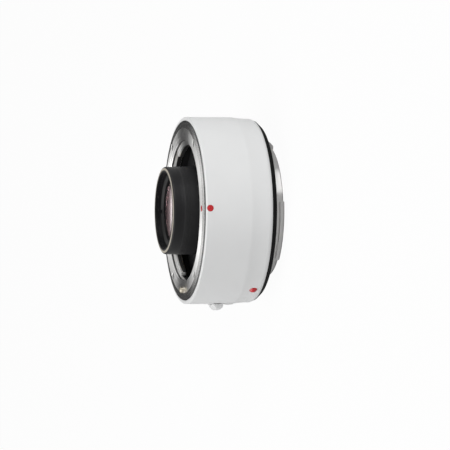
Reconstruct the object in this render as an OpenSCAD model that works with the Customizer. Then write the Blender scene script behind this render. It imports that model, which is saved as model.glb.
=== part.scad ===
// Camera teleconverter: a short barrel with a lens mount in front and a camera mount behind.
// All sizes are in millimetres. The optical axis is Z and the front is at +Z.
// The rear mounting face lies at Z = 0.
// Clock angles run round the axis from the front index dot (0, at -Y) to the release lever (90, at -X).

/* [Barrel] */
// Diameter of the barrel at its widest
barrel_d = 72; // [71.6:0.2:74]
// Distance from the rear mounting face to the front mounting face
flange_gap = 27.2; // [27:0.1:30]
// Thickness of the barrel's wall
barrel_wall = 2.05; // [1.9:0.05:2.3]
// How far the rear section is set in
rear_step = 0.55; // [0.2:0.05:0.6]
// Where the taper to the rear section starts, ahead of the rear mounting face
taper_top = 7.9; // [7:0.1:9]
// Length of that taper
taper_len = 3.2; // [1.5:0.1:3.4]
// Height of the barrel's rear edge above the rear mounting face
barrel_rear = 0.5; // [0.4:0.05:0.7]
// Radius of the rounded rear edge
rear_round = 2; // [1.8:0.1:3]
// How far that rounding draws the rear edge in
rear_drop = 0.6; // [0.3:0.05:0.65]
// Bevel on the front rim
rim_bevel = 0.3; // [0.2:0.05:0.7]
// How far the front rim lies below the front mounting face
rim_drop = 0.45; // [0.05:0.05:0.6]
// Height of the inner lip by which the barrel is clamped
lip_t = 0.8; // [0.6:0.1:1]

/* [Fits] */
// Radial gap between parts that seat in each other
slip = 0.05; // [0.03:0.01:0.07]
// Radial gap round sliding parts
run = 0.08; // [0.05:0.01:0.1]
// Seam between the front mount and the barrel's rim
seam = 0.12; // [0.06:0.02:0.2]
// Free space beside moving parts that don't guide each other
free = 0.3; // [0.3:0.05:0.4]
// Gap filled by cement between glued glass elements
cement = 0.03; // [0.02:0.01:0.05]

/* [Front mount] */
// Outer diameter of the front mount's flange
front_d = 69; // [68.6:0.1:69.2]
// Diameter of the throat
throat_d = 54; // [53.6:0.1:54.2]
// Diameter across the inside of the front tabs
front_tab_d = 50.6; // [50.2:0.1:51.2]
// Thickness of the front flange
front_flange_t = 1.8; // [1.6:0.1:2]
// Depth of the front tabs below the front mounting face
front_tab_depth = 1.4; // [1.2:0.1:1.6]
// Thickness of the front tabs
front_tab_t = 2.2; // [2:0.1:2.3]
// Wall of the ring that carries the front tabs
hub_wall = 1.1; // [0.9:0.1:1.2]
// Depth of the turned step round the throat
face_step = 0.08; // [0.05:0.01:0.12]
// Width of that step
face_step_w = 1.85; // [1.5:0.05:2.2]
// Bevel of the throat's edge
throat_bevel = 0.25; // [0.1:0.05:0.3]
// Width of the outer band of the front mount's face
band_w = 2.2; // [2:0.1:2.3]
// How far that band lies below the front mounting face
band_drop = 0.05; // [0.03:0.01:0.1]
// Bevel of the front mount's outer edge
front_bevel = 0.3; // [0.1:0.05:0.4]
// Distance of the front mount screws from the axis
front_screw_r = 30.6; // [30.4:0.1:30.8]
// Clock angles of the front mount screws
front_screw_at = [55, 125, 235, 305];

/* [Bayonet tabs] */
// Middle of each tab, as a clock angle
tab_at = [20, 138, 265];
// Width of each tab in degrees
tab_span = [52, 52, 56];
// Turn between putting a lens on and its locked position
lock_turn = 60; // [56:1:62]

/* [Mount spring] */
// Thickness of the leaf spring behind the front tabs
leaf_t = 0.3; // [0.2:0.05:0.3]
// How far the leaves reach in short of the tabs' inner edge
leaf_short = 0.3; // [0.2:0.05:0.5]
// Share of a tab's width that its leaf covers
leaf_share = 0.7; // [0.5:0.05:0.9]

/* [Rear mount] */
// Outer diameter of the rear flange
rear_flange_d = 64.6; // [64.2:0.1:65]
// Thickness of the rear flange
rear_flange_t = 1.6; // [1.4:0.1:1.8]
// Outer diameter of the rear bayonet's neck
neck_d = 50.8; // [50.4:0.1:51]
// Inner diameter of the rear bayonet
spigot_in_d = 47.2; // [47:0.1:47.4]
// Diameter across the rear tabs
rear_tab_d = 53.8; // [53.4:0.1:54]
// Length of the rear bayonet
spigot_len = 6.15; // [6:0.05:6.3]
// Thickness of the rear tabs
rear_tab_t = 1.65; // [1.4:0.05:1.75]
// Bevel on the rear bayonet's edges
rear_bevel = 0.4; // [0.2:0.05:0.5]
// Inner diameter of the ledge inside the rear mount
ledge_d = 42; // [41.8:0.1:42.2]
// Height of that ledge above the rear mounting face
ledge_z = 0.2; // [0.1:0.05:0.3]
// Distance of the rear mount screws from the axis
rear_screw_r = 29.4; // [29.1:0.1:29.6]
// Clock angles of the rear mount screws
rear_screw_at = [35, 145, 215, 325];
// Radius of the lugs that take the small screws inside the rear mount
lug_r = 1.4; // [1.3:0.1:1.5]
// Width of the slot that takes the camera's locking pin
lock_slot_w = 3.4; // [3.2:0.1:3.6]
// Length of that slot round the flange
lock_slot_len = 4.6; // [4.2:0.1:5]
// Thickness of the shim under the rear mount
shim_t = 0.2; // [0.1:0.05:0.3]

/* [Seal] */
// How far the rubber seal stands behind the rear mounting face
seal_reach = 1.5; // [1:0.1:1.8]
// Radius of the seal's rear edge
seal_end_r = 33.3; // [33.1:0.1:33.5]
// Height of the seal's straight outer edge
seal_edge = 0.35; // [0.2:0.05:0.4]

/* [Nose] */
// Diameter of the nose
nose_d = 33.6; // [32.4:0.1:33.6]
// How far the nose stands out of the front mounting face
nose_h = 7.6; // [7:0.1:8]
// Width of the nose's rounded front edge, on radius
nose_bevel = 1.1; // [0.8:0.1:1.2]
// Length of that rounding along the axis
nose_bevel_len = 0.8; // [0.5:0.1:0.9]
// How much larger the nose's root is, on radius
root_step = 0.1; // [0.1:0.05:0.3]
// Height of the root above the front mounting face
root_h = 3.2; // [2.6:0.1:3.6]
// Diameter of the nose's front recess
recess_d = 29.8; // [29:0.1:29.8]
// Number of fine grooves round the nose
groove_n = 4; // [0:1:5]
// Pitch of those grooves
groove_pitch = 0.55; // [0.5:0.05:0.6]
// Width of a groove
groove_w = 0.2; // [0.1:0.05:0.25]
// Depth of a groove
groove_depth = 0.12; // [0.08:0.02:0.16]
// Diameter of the lens tube behind its flange
tube_d = 32.4; // [32:0.1:32.6]
// Diameter of the lens tube's flange
tube_flange_d = 39.2; // [39:0.1:39.4]
// Thickness of that flange
tube_flange_t = 1.6; // [1.5:0.1:1.7]
// Rear end of the lens tube behind the rear mounting face
tube_rear = 2; // [1.8:0.1:2.2]
// Thickness of the lip that holds the rear element
tube_lip_t = 1; // [0.8:0.1:1.2]
// Diameter of the opening in that lip
tube_lip_d = 23.6; // [23:0.1:24.4]
// Distance of the lens tube's screws from the axis
tube_screw_r = 18.1; // [18:0.1:18.2]
// Clock angles of the lens tube's screws
tube_screw_at = [0, 120, 240];

/* [Glass] */
// Diameter of the glass elements
glass_d = 26.7; // [26.3:0.1:26.9]
// Depth of the front element's edge below the nose's rim
glass_depth = 3.85; // [3.7:0.05:4.2]
// Edge thickness of each element from front to rear
edge_t = [2, 5, 5.2, 1.4, 5.4, 1.6, 5];
// Front radius of each element, positive where it swells to the front
front_curve = [48, -60, -70, 34, -34, 40, -40];
// Rear radius of each element, positive where it swells to the front
rear_curve = [-60, 40, 34, -34, 80, -40, 150];
// Length of the spacer between the first two groups
spacer_len = 3.4; // [3:0.1:3.6]
// Wall of the spacers
spacer_wall = 1; // [0.8:0.1:1.2]
// Clear diameter of the front retaining ring
keeper_d = 25.2; // [24.8:0.1:25.4]
// Height of the front retaining ring
keeper_t = 1.5; // [1.3:0.1:1.7]
// Inner bevel of the front retaining ring, on radius
keeper_bevel = 1.1; // [0.8:0.1:1.3]
// Width of the two spanner slots
spanner_w = 1.2; // [0.8:0.1:1.6]
// Depth of the spanner slots
spanner_depth = 0.5; // [0.3:0.05:0.7]

/* [Frame] */
// Underside of the frame's deck above the rear mounting face
deck_z = 15.6; // [15.4:0.1:15.8]
// Thickness of the deck
deck_t = 2; // [1.9:0.1:2.1]
// Thickness of the frame's outer wall
frame_wall = 2.3; // [2.1:0.1:2.4]
// Height of the frame's rear rim
rim_h = 3.2; // [3:0.1:3.4]
// Inner diameter of the frame's rear rim
rim_in_d = 54.4; // [54:0.1:54.8]
// Width of the lip that seats inside the front flange's edge
lip_w = 1.5; // [1.4:0.1:1.6]

/* [Front baffle] */
// Thickness of the front baffle
baffle_t = 1; // [0.8:0.1:1.1]
// Gap between the lens tube's flange and the baffle
baffle_gap = 0.2; // [0.1:0.05:0.3]
// Wall of the baffle's rim
baffle_wall = 0.7; // [0.6:0.05:0.75]
// Gap round the nose
nose_gap = 0.3; // [0.2:0.05:0.4]

/* [Rear baffle] */
// Diameter of the light opening behind the rear element
light_d = 25.6; // [25:0.1:26.4]
// Diameter of the rear baffle's mouth
mouth_d = 38.6; // [38.2:0.1:38.8]
// How far the rear baffle stays inside the bayonet's end
baffle_inset = 0.5; // [0.3:0.05:0.6]
// Number of light-trap steps
trap_n = 5; // [3:1:6]
// Thickness of the baffle's web behind the lens tube
web_t = 0.7; // [0.6:0.05:0.8]
// Clock angles of the rear baffle's screws
baffle_screw_at = [45, 315];
// Distance of those screws from the axis
baffle_screw_r = 22.2; // [22.1:0.1:22.2]

/* [Contacts] */
// Number of contacts
contact_n = 8; // [6:1:8]
// Distance of the contacts from the axis
contact_r = 21.9; // [21.8:0.05:22]
// Angle between neighbouring contacts
contact_step = 6.6; // [6.4:0.1:6.8]
// Clock angle of the middle of the contacts
contact_at = 180; // [178:1:182]
// Height of the front contact block
block_h = 4; // [3.8:0.1:4.2]
// Width of the front contact block inside its contacts
block_in_w = 2.05; // [2:0.05:2.1]
// Width of the front contact block outside its contacts
block_out_w = 2.3; // [2.1:0.1:2.5]
// Half width of the contact blocks in degrees
block_half = 33; // [32.4:0.2:34]
// Radius of a contact pin
pin_r = 0.5; // [0.45:0.05:0.55]
// Radius of a contact pin's collar
collar_r = 0.85; // [0.8:0.05:0.9]
// Height of a contact pin's collar
collar_h = 0.8; // [0.6:0.05:0.9]
// How far a contact pin stands out
pin_out = 1.1; // [1.05:0.05:1.2]
// Travel of a contact pin
pin_travel = 0.9; // [0.8:0.05:1]
// Thickness of the block over the collars
block_top = 0.8; // [0.7:0.05:0.9]
// Width of the rear contact block inside its contacts
rear_block_w = 2.3; // [2.2:0.05:2.4]
// Radial length of a rear contact pad
pad_len = 2.2; // [2:0.1:2.4]
// Width of a rear contact pad
pad_w = 1.7; // [1.5:0.1:1.8]
// Thickness of a rear contact pad
pad_t = 0.5; // [0.4:0.05:0.6]
// How far a pad stands out of its block
pad_out = 0.06; // [0.03:0.01:0.1]
// Height of the rear contact face behind the rear mounting face
pad_depth = 5.2; // [5:0.05:5.4]
// Half angle from the middle of a block to its screws
block_screw = 29.6; // [29.4:0.1:29.8]

/* [Springs] */
// Wire radius of a contact spring
pin_wire = 0.08; // [0.06:0.01:0.09]
// Turns of a contact spring
pin_turns = 3.5; // [3:0.5:3.5]
// Wire radius of the lock spring
lock_wire = 0.15; // [0.12:0.01:0.17]
// Turns of the lock spring
lock_turns = 4.5; // [4:0.5:5]
// Mean radius of the lock spring
lock_coil_r = 1.15; // [1.1:0.05:1.25]

/* [Release] */
// Clock angle of the release lever and the locking pin
lever_at = 90; // [88:1:92]
// Height of the lever's front foot above the rear mounting face
lever_front = 16.5; // [16:0.1:16.8]
// Length of the lever's foot along the axis
lever_len = 4; // [3.7:0.1:4.2]
// How far the lever's front face leans back
lever_lean = 1.4; // [0.4:0.1:1.8]
// Length of the flat on top of the lever
lever_flat = 0.4; // [0.3:0.1:0.8]
// Width of the lever round the barrel
lever_w = 9; // [8:0.2:10]
// How far the lever stands out of the barrel
lever_h = 2.4; // [2:0.1:2.8]
// Rounding at the lever's upper corners
lever_round = 2; // [0.6:0.1:2.2]
// Height of the guard ridge behind the lever
guard_h = 0.36; // [0.2:0.02:0.5]
// Length of the guard ridge along the axis
guard_len = 2.3; // [1.8:0.1:2.4]
// Half width of the guard ridge in degrees
guard_half = 7; // [6:0.5:9]
// Length of the lever's stem along the axis
stem_len = 2.8; // [2.4:0.1:3]
// Width of the lever's stem
stem_w = 3.6; // [3.2:0.1:4]
// Travel of the release lever
lever_travel = 1.8; // [1.6:0.1:1.8]
// Distance of the locking pin from the axis
lock_r = 30.5; // [30.4:0.05:30.6]
// Radius of the locking pin's shaft
lock_pin_r = 1.5; // [1.4:0.05:1.55]
// Radius of the locking pin's tip
lock_tip_r = 1.25; // [1.2:0.05:1.3]
// How far the locking pin stands out
lock_out = 1.5; // [1.4:0.1:1.5]
// Bevel at the locking pin's tip
lock_bevel = 0.4; // [0.2:0.05:0.5]
// Radius of the locking pin's collar
lock_collar_r = 2.3; // [2.1:0.1:2.4]
// Height of that collar
lock_collar_h = 1.2; // [1:0.1:1.4]
// Top of the lever's pocket above the rear mounting face
pocket_top = 18.5; // [18.4:0.1:18.6]
// Floor of the lever's pocket above the rear mounting face
pocket_floor = 6.8; // [6.6:0.1:7]
// Width of the lever's pocket
pocket_w = 8.8; // [8.6:0.1:9]
// Inner radius of the lever's pocket
pocket_in = 27.6; // [27.4:0.1:27.8]
// Width of the slider
slider_w = 5; // [4.8:0.1:5.4]
// Height of the slider
slider_h = 6.1; // [5.9:0.1:6.3]
// Width of the shield that closes the lever's slot from inside
shield_w = 7.6; // [7.4:0.1:7.8]
// Thickness of that shield
shield_t = 0.6; // [0.5:0.05:0.7]

/* [Board] */
// Outer diameter of the circuit board
board_d = 53.6; // [53:0.1:53.8]
// Thickness of the circuit board
board_t = 1.2; // [1:0.1:1.4]
// Distance of the circuit board below the deck
board_drop = 3.6; // [3.2:0.1:4]
// Radius of the posts under the deck
post_r = 1.6; // [1.5:0.1:1.8]
// Distance of the posts from the axis
post_at_r = 24.5; // [24:0.1:24.6]
// Clock angles of the posts
post_at = [30, 150, 270];
// Thickness of the flexible circuits
flex_t = 0.2; // [0.15:0.05:0.25]
// Half width of the flexible circuits in degrees
flex_half = 11; // [9:1:13]
// Angle by which the front flexible circuit stays short of the block's screws
flex_trim = 3; // [2:0.5:4]
// Angle left free beside the flexible circuits
flex_room = 1; // [0.5:0.5:2]
// Height of the largest chip
chip_h = 1; // [0.8:0.1:1.2]
// Side of the largest chip
chip_w = 6; // [5:0.5:6.5]
// Clock angles of the chips
chip_at = [0, 60, 115, 220, 300];
// Size of each chip against the largest
chip_scale = [1, 0.75, 0.5, 0.5, 0.8];
// Distance of the chips from the axis
chip_r = 22; // [21.8:0.1:22.2]

/* [Index marks] */
// Diameter of the front index dot
dot_d = 2.5; // [2.2:0.1:2.8]
// Space between the front index dot's recess and the bevel of the front rim
dot_gap = 0.05; // [0.05:0.05:0.4]
// Depth of the index dots' recesses
dot_depth = 0.25; // [0.15:0.05:0.35]
// Diameter of the dot on the front mount
flange_dot_d = 2.3; // [2:0.1:2.4]
// Distance of that dot from the axis
flange_dot_r = 30.3; // [30.1:0.1:30.6]
// Diameter of the raised rear index dot
rear_dot_d = 3; // [2.6:0.1:3.2]
// Height of the raised rear index dot's middle above the rear mounting face
rear_dot_z = 4; // [3.8:0.05:4]
// How far the raised rear index dot stands out
rear_dot_h = 0.9; // [0.3:0.05:1]

/* [Screws] */
// Head radius of the mount screws
mount_head = 1.5; // [1.3:0.05:1.5]
// Shaft radius of the mount screws
mount_shaft = 0.7; // [0.6:0.05:0.75]
// Length of the mount screws
mount_screw_len = 4.4; // [4:0.1:4.6]
// Head radius of the small screws
small_head = 1; // [0.9:0.05:1]
// Head height of the small screws
small_head_h = 0.6; // [0.5:0.05:0.7]
// Shaft radius of the small screws
small_shaft = 0.55; // [0.5:0.05:0.6]
// Depth of the cross recess in a screw's head
cross_depth = 0.35; // [0.25:0.05:0.4]
// Width of the cross recess's arms
cross_w = 0.36; // [0.3:0.02:0.42]

/* [Show] */
// The piece to draw, or all of them

/* [Hidden] */
$fn = 96;
sliver = 0.5;
wire_sides = 6;
wire_rings = 8;
arc_steps = 8;
fine = 256;

barrel_r = barrel_d / 2;
rear_r = barrel_r - rear_step;
rear_end_r = rear_r - rear_drop;
round_turn = acos(1 - rear_drop / rear_round);
bore_r = barrel_r - barrel_wall;
rim_z = flange_gap - rim_drop;
dot_z = rim_z - rim_bevel - dot_gap - slip - dot_d / 2;

front_r = front_d / 2;
throat_r = throat_d / 2;
seat_z = flange_gap - front_flange_t;
lip_r = front_r - lip_w;
lip_z = seat_z - lip_t;
hub_r = throat_r + hub_wall;
tab_top_z = flange_gap - front_tab_depth;
hub_z = tab_top_z - front_tab_t;
leaf_z = hub_z - leaf_t;

frame_r = bore_r - slip;
frame_z = rear_flange_t + shim_t;
wall_in = frame_r - frame_wall;
rim_top = frame_z + rim_h;
rim_in = rim_in_d / 2;
deck_top = deck_z + deck_t;
ring_in = hub_r + slip;

nose_r = nose_d / 2;
nose_z = flange_gap + nose_h;
root_r = nose_r + root_step;
root_z = flange_gap + root_h;
recess_r = recess_d / 2;
tube_r = tube_d / 2;
tube_flange_r = tube_flange_d / 2;
tube_flange_z = deck_top + tube_flange_t;
glass_r = glass_d / 2;
glass_bore = glass_r + slip;

baffle_z = tube_flange_z + baffle_gap;
baffle_top = baffle_z + baffle_t;
baffle_rim_z = leaf_z - baffle_gap;
block_z = deck_top + block_h;
block_in = contact_r - block_in_w;
block_out = contact_r + block_out_w;
rear_block_in = contact_r - rear_block_w;
collar_z = block_z - block_top;
spring_floor = deck_top;
pin_bottom = collar_z - collar_h;

rear_flange_r = rear_flange_d / 2;
neck_r = neck_d / 2;
spigot_in = spigot_in_d / 2;
rear_tab_r = rear_tab_d / 2;
spigot_z = -spigot_len;
rear_tab_z = spigot_z + rear_tab_t;
ledge_r = ledge_d / 2;
rear_face_z = spigot_z + baffle_inset;
web_z = -tube_rear - baffle_gap;

board_z = deck_z - board_drop;
board_under = board_z - board_t;
board_in = tube_r + free + slip;
board_out = board_d / 2;
flex_r = ledge_r - free - flex_t;

slider_top = pocket_top - lock_collar_h;
slider_z = slider_top - slider_h;
slider_in = lock_r - lock_pin_r - sliver;
shield_out = bore_r - free - shield_w * shield_w / (8 * bore_r);
shield_in = shield_out - shield_t;
shield_top = pocket_top - free;
lever_z = lever_front - lever_len / 2;
stem_top = lever_z + stem_len / 2;
stem_bottom = lever_z - stem_len / 2;
guard_top = lever_front - lever_len - lever_travel - slip;
slot_bottom = stem_bottom - lever_travel - free;
slot_top = stem_top + free;
shield_bottom = slot_bottom - sliver;
lever_screw_z = stem_bottom + small_shaft + free;
lever_screw_len = barrel_r - slider_in + lever_h / 4;
lock_tip_z = flange_gap + slip;
lock_end_z = flange_gap + lock_out;
lock_root_z = max(slider_top - 2 * lock_collar_h, lever_screw_z + small_head + 2 * slip);

// Sag of a round surface at a distance from the axis.
function sag(curve, r) = abs(curve) - sqrt(curve * curve - r * r);
// Sum of the first n entries of a list.
function upto(v, n) = n == 0 ? 0 : v[n - 1] + upto(v, n - 1);
// Height of the front edge of each element, front to rear.
first_edge = nose_z - glass_depth;
second_edge = first_edge - upto(edge_t, 2) - cement - spacer_len;
group_two = edge_t[2] + edge_t[3] + edge_t[4] + 2 * cement;
group_three = edge_t[5] + edge_t[6] + cement;
third_edge = -tube_rear + tube_lip_t + group_three;
edge_z = [
    first_edge,
    first_edge - edge_t[0] - cement,
    second_edge,
    second_edge - edge_t[2] - cement,
    second_edge - edge_t[2] - edge_t[3] - 2 * cement,
    third_edge,
    third_edge - edge_t[5] - cement
];
// How far a swelling glass surface rises from its edge to a ring's inner edge.
function rise(curve, r) = sag(curve, glass_r) - sag(curve, r);
spacer_in = glass_r - spacer_wall;
keeper_in = keeper_d / 2;
keeper_z = first_edge + rise(front_curve[0], keeper_in) + slip;
keeper_top = keeper_z + keeper_t;

pin_names = [for (i = [1:contact_n]) str("contact_pin_", i)];
spring_names = [for (i = [1:contact_n]) str("contact_spring_", i)];
glass_names = [for (i = [1:len(edge_t)]) str("element_", i)];

// Places children at a clock angle, with their X axis pointing outwards.
module clock(angle, r = 0, z = 0) {
    rotate([0, 0, -90 - angle]) translate([r, 0, z]) children();
}

module ring(r_in, r_out, z_low, z_high) {
    rotate_extrude() translate([r_in, z_low]) square([r_out - r_in, z_high - z_low]);
}

// Part of a ring centred on a clock angle.
module sector(r_in, r_out, z_low, z_high, angle, half) {
    rotate([0, 0, -90 - angle - half])
        rotate_extrude(angle = 2 * half) translate([r_in, z_low]) square([r_out - r_in, z_high - z_low]);
}

module rod(r, z_low, z_high) {
    translate([0, 0, z_low]) cylinder(r = r, h = z_high - z_low);
}

// A block that is centred across a clock direction.
module bar(x_low, x_high, width, z_low, z_high) {
    translate([x_low, -width / 2, z_low]) cube([x_high - x_low, width, z_high - z_low]);
}

module cross_recess(reach) {
    for (turn = [0, 90])
        rotate([0, 0, turn]) bar(-reach, reach, cross_w, -cross_depth, sliver);
}

// A countersunk screw whose head lies at the origin and whose shaft runs down.
module flat_screw(head, shaft, length) {
    difference() {
        rotate_extrude() polygon([[0, 0], [head, 0], [shaft, shaft - head], [shaft, -length], [0, -length]]);
        cross_recess(head / 2);
    }
}

// The hole for such a screw, with its countersink.
module flat_hole(head, shaft, length) {
    rotate_extrude()
        polygon([
            [0, sliver], [head + slip + sliver, sliver], [shaft + slip, shaft - head],
            [shaft + slip, -length - slip], [0, -length - slip]
        ]);
}

// A pan screw whose head's top lies at the origin and whose shaft runs down.
module pan_screw(head, head_h, shaft, length) {
    difference() {
        rotate_extrude() polygon([
            [0, 0], [head, 0], [head, -head_h], [shaft, -head_h], [shaft, -length], [0, -length]
        ]);
        cross_recess(head / 2);
    }
}

module pan_hole(head, head_h, shaft, length) {
    rotate_extrude()
        polygon([
            [0, sliver], [head + slip, sliver], [head + slip, -head_h], [shaft + slip, -head_h],
            [shaft + slip, -length - slip], [0, -length - slip]
        ]);
}

// Centre line of a coil, rising from z_low to z_high.
function coil_line(r, wire, z_low, z_high, turns) = [
    for (i = [0:turns * wire_rings])
        let (
            turn = 360 * i / wire_rings,
            z = z_low + wire + (z_high - z_low - 2 * wire) * i / (turns * wire_rings)
        )
        [r * cos(turn), r * sin(turn), z]
];

// Least free space between neighbouring turns, measured on the centre line's points.
function coil_gap(line, wire) =
    min([for (i = [0:len(line) - 1 - wire_rings]) norm(line[i + wire_rings] - line[i]) - 2 * wire]);

module coil(r, wire, z_low, z_high, turns) {
    line = coil_line(r, wire, z_low, z_high, turns);
    last = len(line) - 1;
    points = [
        for (i = [0:last], k = [0:wire_sides - 1])
            let (turn = 360 * i / wire_rings, side = 360 * k / wire_sides, out = r + wire * cos(side))
                [out * cos(turn), out * sin(turn), line[i][2] + wire * sin(side)]
    ];
    sides = [
        for (i = [0:last - 1], k = [0:wire_sides - 1], half = [0, 1])
            let (
                a = i * wire_sides + k,
                b = i * wire_sides + (k + 1) % wire_sides,
                c = a + wire_sides,
                d = b + wire_sides
            )
            half == 0 ? [a, b, c] : [b, d, c]
    ];
    start_cap = [for (k = [wire_sides - 1:-1:0]) k];
    end_cap = [for (k = [0:wire_sides - 1]) last * wire_sides + k];
    polyhedron(points, concat(sides, [start_cap, end_cap]));
}

// The barrel's radial hole for an index dot.
module dot_bore(angle, z, r, from) {
    clock(angle, from, z) rotate([0, 90, 0]) cylinder(r = r, h = barrel_r);
}

module barrel() {
    rounding = [
        for (i = [0:arc_steps])
            let (turn = round_turn * (1 - i / arc_steps))
                [
                    rear_r - rear_round * (1 - cos(turn)),
                    barrel_rear + rear_round * (sin(round_turn) - sin(turn))
                ]
    ];
    color("white") difference() {
        union() {
            rotate_extrude() polygon(concat(
                [[bore_r, barrel_rear]],
                rounding,
                [
                    [rear_r, taper_top - taper_len],
                    [barrel_r, taper_top],
                    [barrel_r, rim_z - rim_bevel],
                    [barrel_r - rim_bevel, rim_z],
                    [front_r + seam, rim_z],
                    [front_r + seam, seat_z],
                    [lip_r, seat_z],
                    [lip_r, lip_z],
                    [bore_r, lip_z]
                ]
            ));
            guard_ridge();
        }
        clock(lever_at) bar(lip_r, barrel_r + sliver, stem_w + 2 * free, slot_bottom, slot_top);
        dot_bore(0, dot_z, dot_d / 2 + slip, barrel_r - dot_depth);
        dot_bore(lock_turn, rear_dot_z, rear_dot_d / 2 + slip, rear_r - barrel_wall / 3);
    }
}

// A low rounded ridge behind the lever.
module guard_ridge() {
    crest = [
        for (i = [0:arc_steps])
            let (turn = 180 * i / arc_steps)
                [barrel_r + guard_h * sin(turn), guard_top - guard_len * (1 - cos(turn)) / 2]
    ];
    base = barrel_r - sliver;
    rotate([0, 0, -90 - lever_at - guard_half]) rotate_extrude(angle = 2 * guard_half)
        polygon(concat([[base, guard_top]], crest, [[base, guard_top - guard_len]]));
}

// A dot of paint that fills its recess level with the barrel.
module front_index_dot() {
    color("red") intersection() {
        dot_bore(0, dot_z, dot_d / 2, barrel_r - dot_depth);
        rod(barrel_r, 0, flange_gap, $fn = fine);
    }
}

// A raised button with a round top, set in the barrel.
module rear_index_dot() {
    ball = (rear_dot_d * rear_dot_d / 4 + rear_dot_h * rear_dot_h) / (2 * rear_dot_h);
    base = rear_r - barrel_wall / 3;
    color("red") intersection() {
        dot_bore(lock_turn, rear_dot_z, rear_dot_d / 2, base);
        clock(lock_turn, rear_r + rear_dot_h - ball, rear_dot_z) sphere(r = ball, $fn = fine);
    }
}

module front_mount() {
    color("silver") difference() {
        union() {
            rotate_extrude()
                polygon([
                    [throat_r, hub_z],
                    [hub_r, hub_z],
                    [hub_r, seat_z],
                    [front_r, seat_z],
                    [front_r, flange_gap - band_drop - front_bevel],
                    [front_r - front_bevel, flange_gap - band_drop],
                    [front_r - band_w, flange_gap - band_drop],
                    [front_r - band_w - band_drop, flange_gap],
                    [throat_r + face_step_w, flange_gap],
                    [throat_r + face_step_w - face_step, flange_gap - face_step],
                    [throat_r + throat_bevel, flange_gap - face_step],
                    [throat_r, flange_gap - face_step - throat_bevel]
                ]);
            for (i = [0:len(tab_at) - 1])
                sector(
                    front_tab_d / 2, throat_r + hub_wall / 2, hub_z + slip, tab_top_z,
                    tab_at[i], tab_span[i] / 2
                );
        }
        for (a = front_screw_at)
            clock(a, front_screw_r, flange_gap) flat_hole(mount_head, mount_shaft, mount_screw_len);
        clock(lever_at, lock_r) rod(lock_pin_r + run, hub_z - sliver, flange_gap + sliver);
        clock(0, flange_dot_r) rod(flange_dot_d / 2 + slip, flange_gap - dot_depth, flange_gap + sliver);
    }
}

module flange_index_dot() {
    color("red") clock(0, flange_dot_r) rod(flange_dot_d / 2, flange_gap - dot_depth, flange_gap);
}

module front_mount_screws() {
    color("dimgray") for (a = front_screw_at)
        clock(a, front_screw_r, flange_gap - slip) flat_screw(mount_head, mount_shaft, mount_screw_len);
}

// A flat ring behind the front mount with one leaf under each tab.
module mount_spring() {
    color("gold") {
        ring(throat_r + slip, hub_r, leaf_z, hub_z);
        for (i = [0:len(tab_at) - 1])
            sector(
                front_tab_d / 2 + leaf_short, throat_r + hub_wall / 2, leaf_z, hub_z,
                tab_at[i], tab_span[i] * leaf_share / 2
            );
    }
}

module main_frame() {
    color("dimgray") difference() {
        union() {
            rotate_extrude()
                polygon([
                    [tube_r + slip, deck_z],
                    [wall_in, deck_z],
                    [wall_in, rim_top],
                    [rim_in, rim_top],
                    [rim_in, frame_z],
                    [frame_r, frame_z],
                    [frame_r, lip_z],
                    [lip_r - slip, lip_z],
                    [lip_r - slip, seat_z],
                    [ring_in, seat_z],
                    [ring_in, deck_top],
                    [tube_r + slip, deck_top]
                ]);
            clock(lever_at) bar(pocket_in, wall_in + frame_wall / 2, pocket_w, frame_z + sliver, pocket_floor);
            for (a = post_at) clock(a, post_at_r) rod(post_r, board_z, deck_z + sliver);
        }
        clock(lever_at) bar(pocket_in, barrel_r, pocket_w, pocket_floor, pocket_top);
        clock(lever_at, lock_r) rod(lock_pin_r + run, pocket_top - sliver, flange_gap);
        for (a = front_screw_at)
            clock(a, front_screw_r, flange_gap) flat_hole(mount_head, mount_shaft, mount_screw_len);
        for (a = rear_screw_at)
            clock(a, rear_screw_r) rod(mount_shaft + slip, frame_z - sliver, slip + mount_screw_len + slip);
        for (a = tube_screw_at)
            clock(a, tube_screw_r) rod(small_shaft + slip, deck_z - sliver, deck_top + sliver);
        for (s = [-1, 1])
            clock(contact_at + s * block_screw, contact_r)
                rod(small_shaft + slip, deck_z - sliver, deck_top + sliver);
        for (a = post_at)
            clock(a, post_at_r) rod(small_shaft + slip, board_z - sliver, deck_z + deck_t / 2);
        sector(
            block_in, block_out + free, deck_top - flex_t, deck_top + sliver,
            contact_at, block_screw - flex_trim + flex_room
        );
        sector(
            block_out - free, block_out + 2 * free, deck_z - sliver, deck_top + sliver,
            contact_at, flex_half + flex_room
        );
    }
}

// The nose and the tube behind it, one turned piece that holds the glass.
module lens_tube() {
    rim = [
        for (i = [0:arc_steps])
            let (turn = 90 * i / arc_steps)
                [nose_r - nose_bevel * (1 - cos(turn)), nose_z - nose_bevel_len * (1 - sin(turn))]
    ];
    color("black") difference() {
        rotate_extrude()
            polygon(concat(
                [
                    [tube_lip_d / 2, -tube_rear],
                    [tube_r, -tube_rear],
                    [tube_r, deck_top],
                    [tube_flange_r, deck_top],
                    [tube_flange_r, tube_flange_z],
                    [root_r, tube_flange_z],
                    [root_r, root_z],
                    [nose_r, root_z + root_step]
                ],
                rim,
                [
                    [recess_r, nose_z],
                    [recess_r, first_edge],
                    [glass_bore, first_edge],
                    [glass_bore, -tube_rear + tube_lip_t],
                    [tube_lip_d / 2, -tube_rear + tube_lip_t]
                ]
            ));
        for (a = tube_screw_at)
            clock(a, tube_screw_r, tube_flange_z)
                pan_hole(small_head, small_head_h, small_shaft, tube_flange_t);
        sector(
            block_in - slip, block_out + slip, deck_top - sliver, tube_flange_z + sliver,
            contact_at, block_half + slip
        );
        for (i = [1:groove_n])
            ring(
                root_r - groove_depth, root_r + sliver,
                root_z - i * groove_pitch - groove_w, root_z - i * groove_pitch
            );
    }
}

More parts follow.
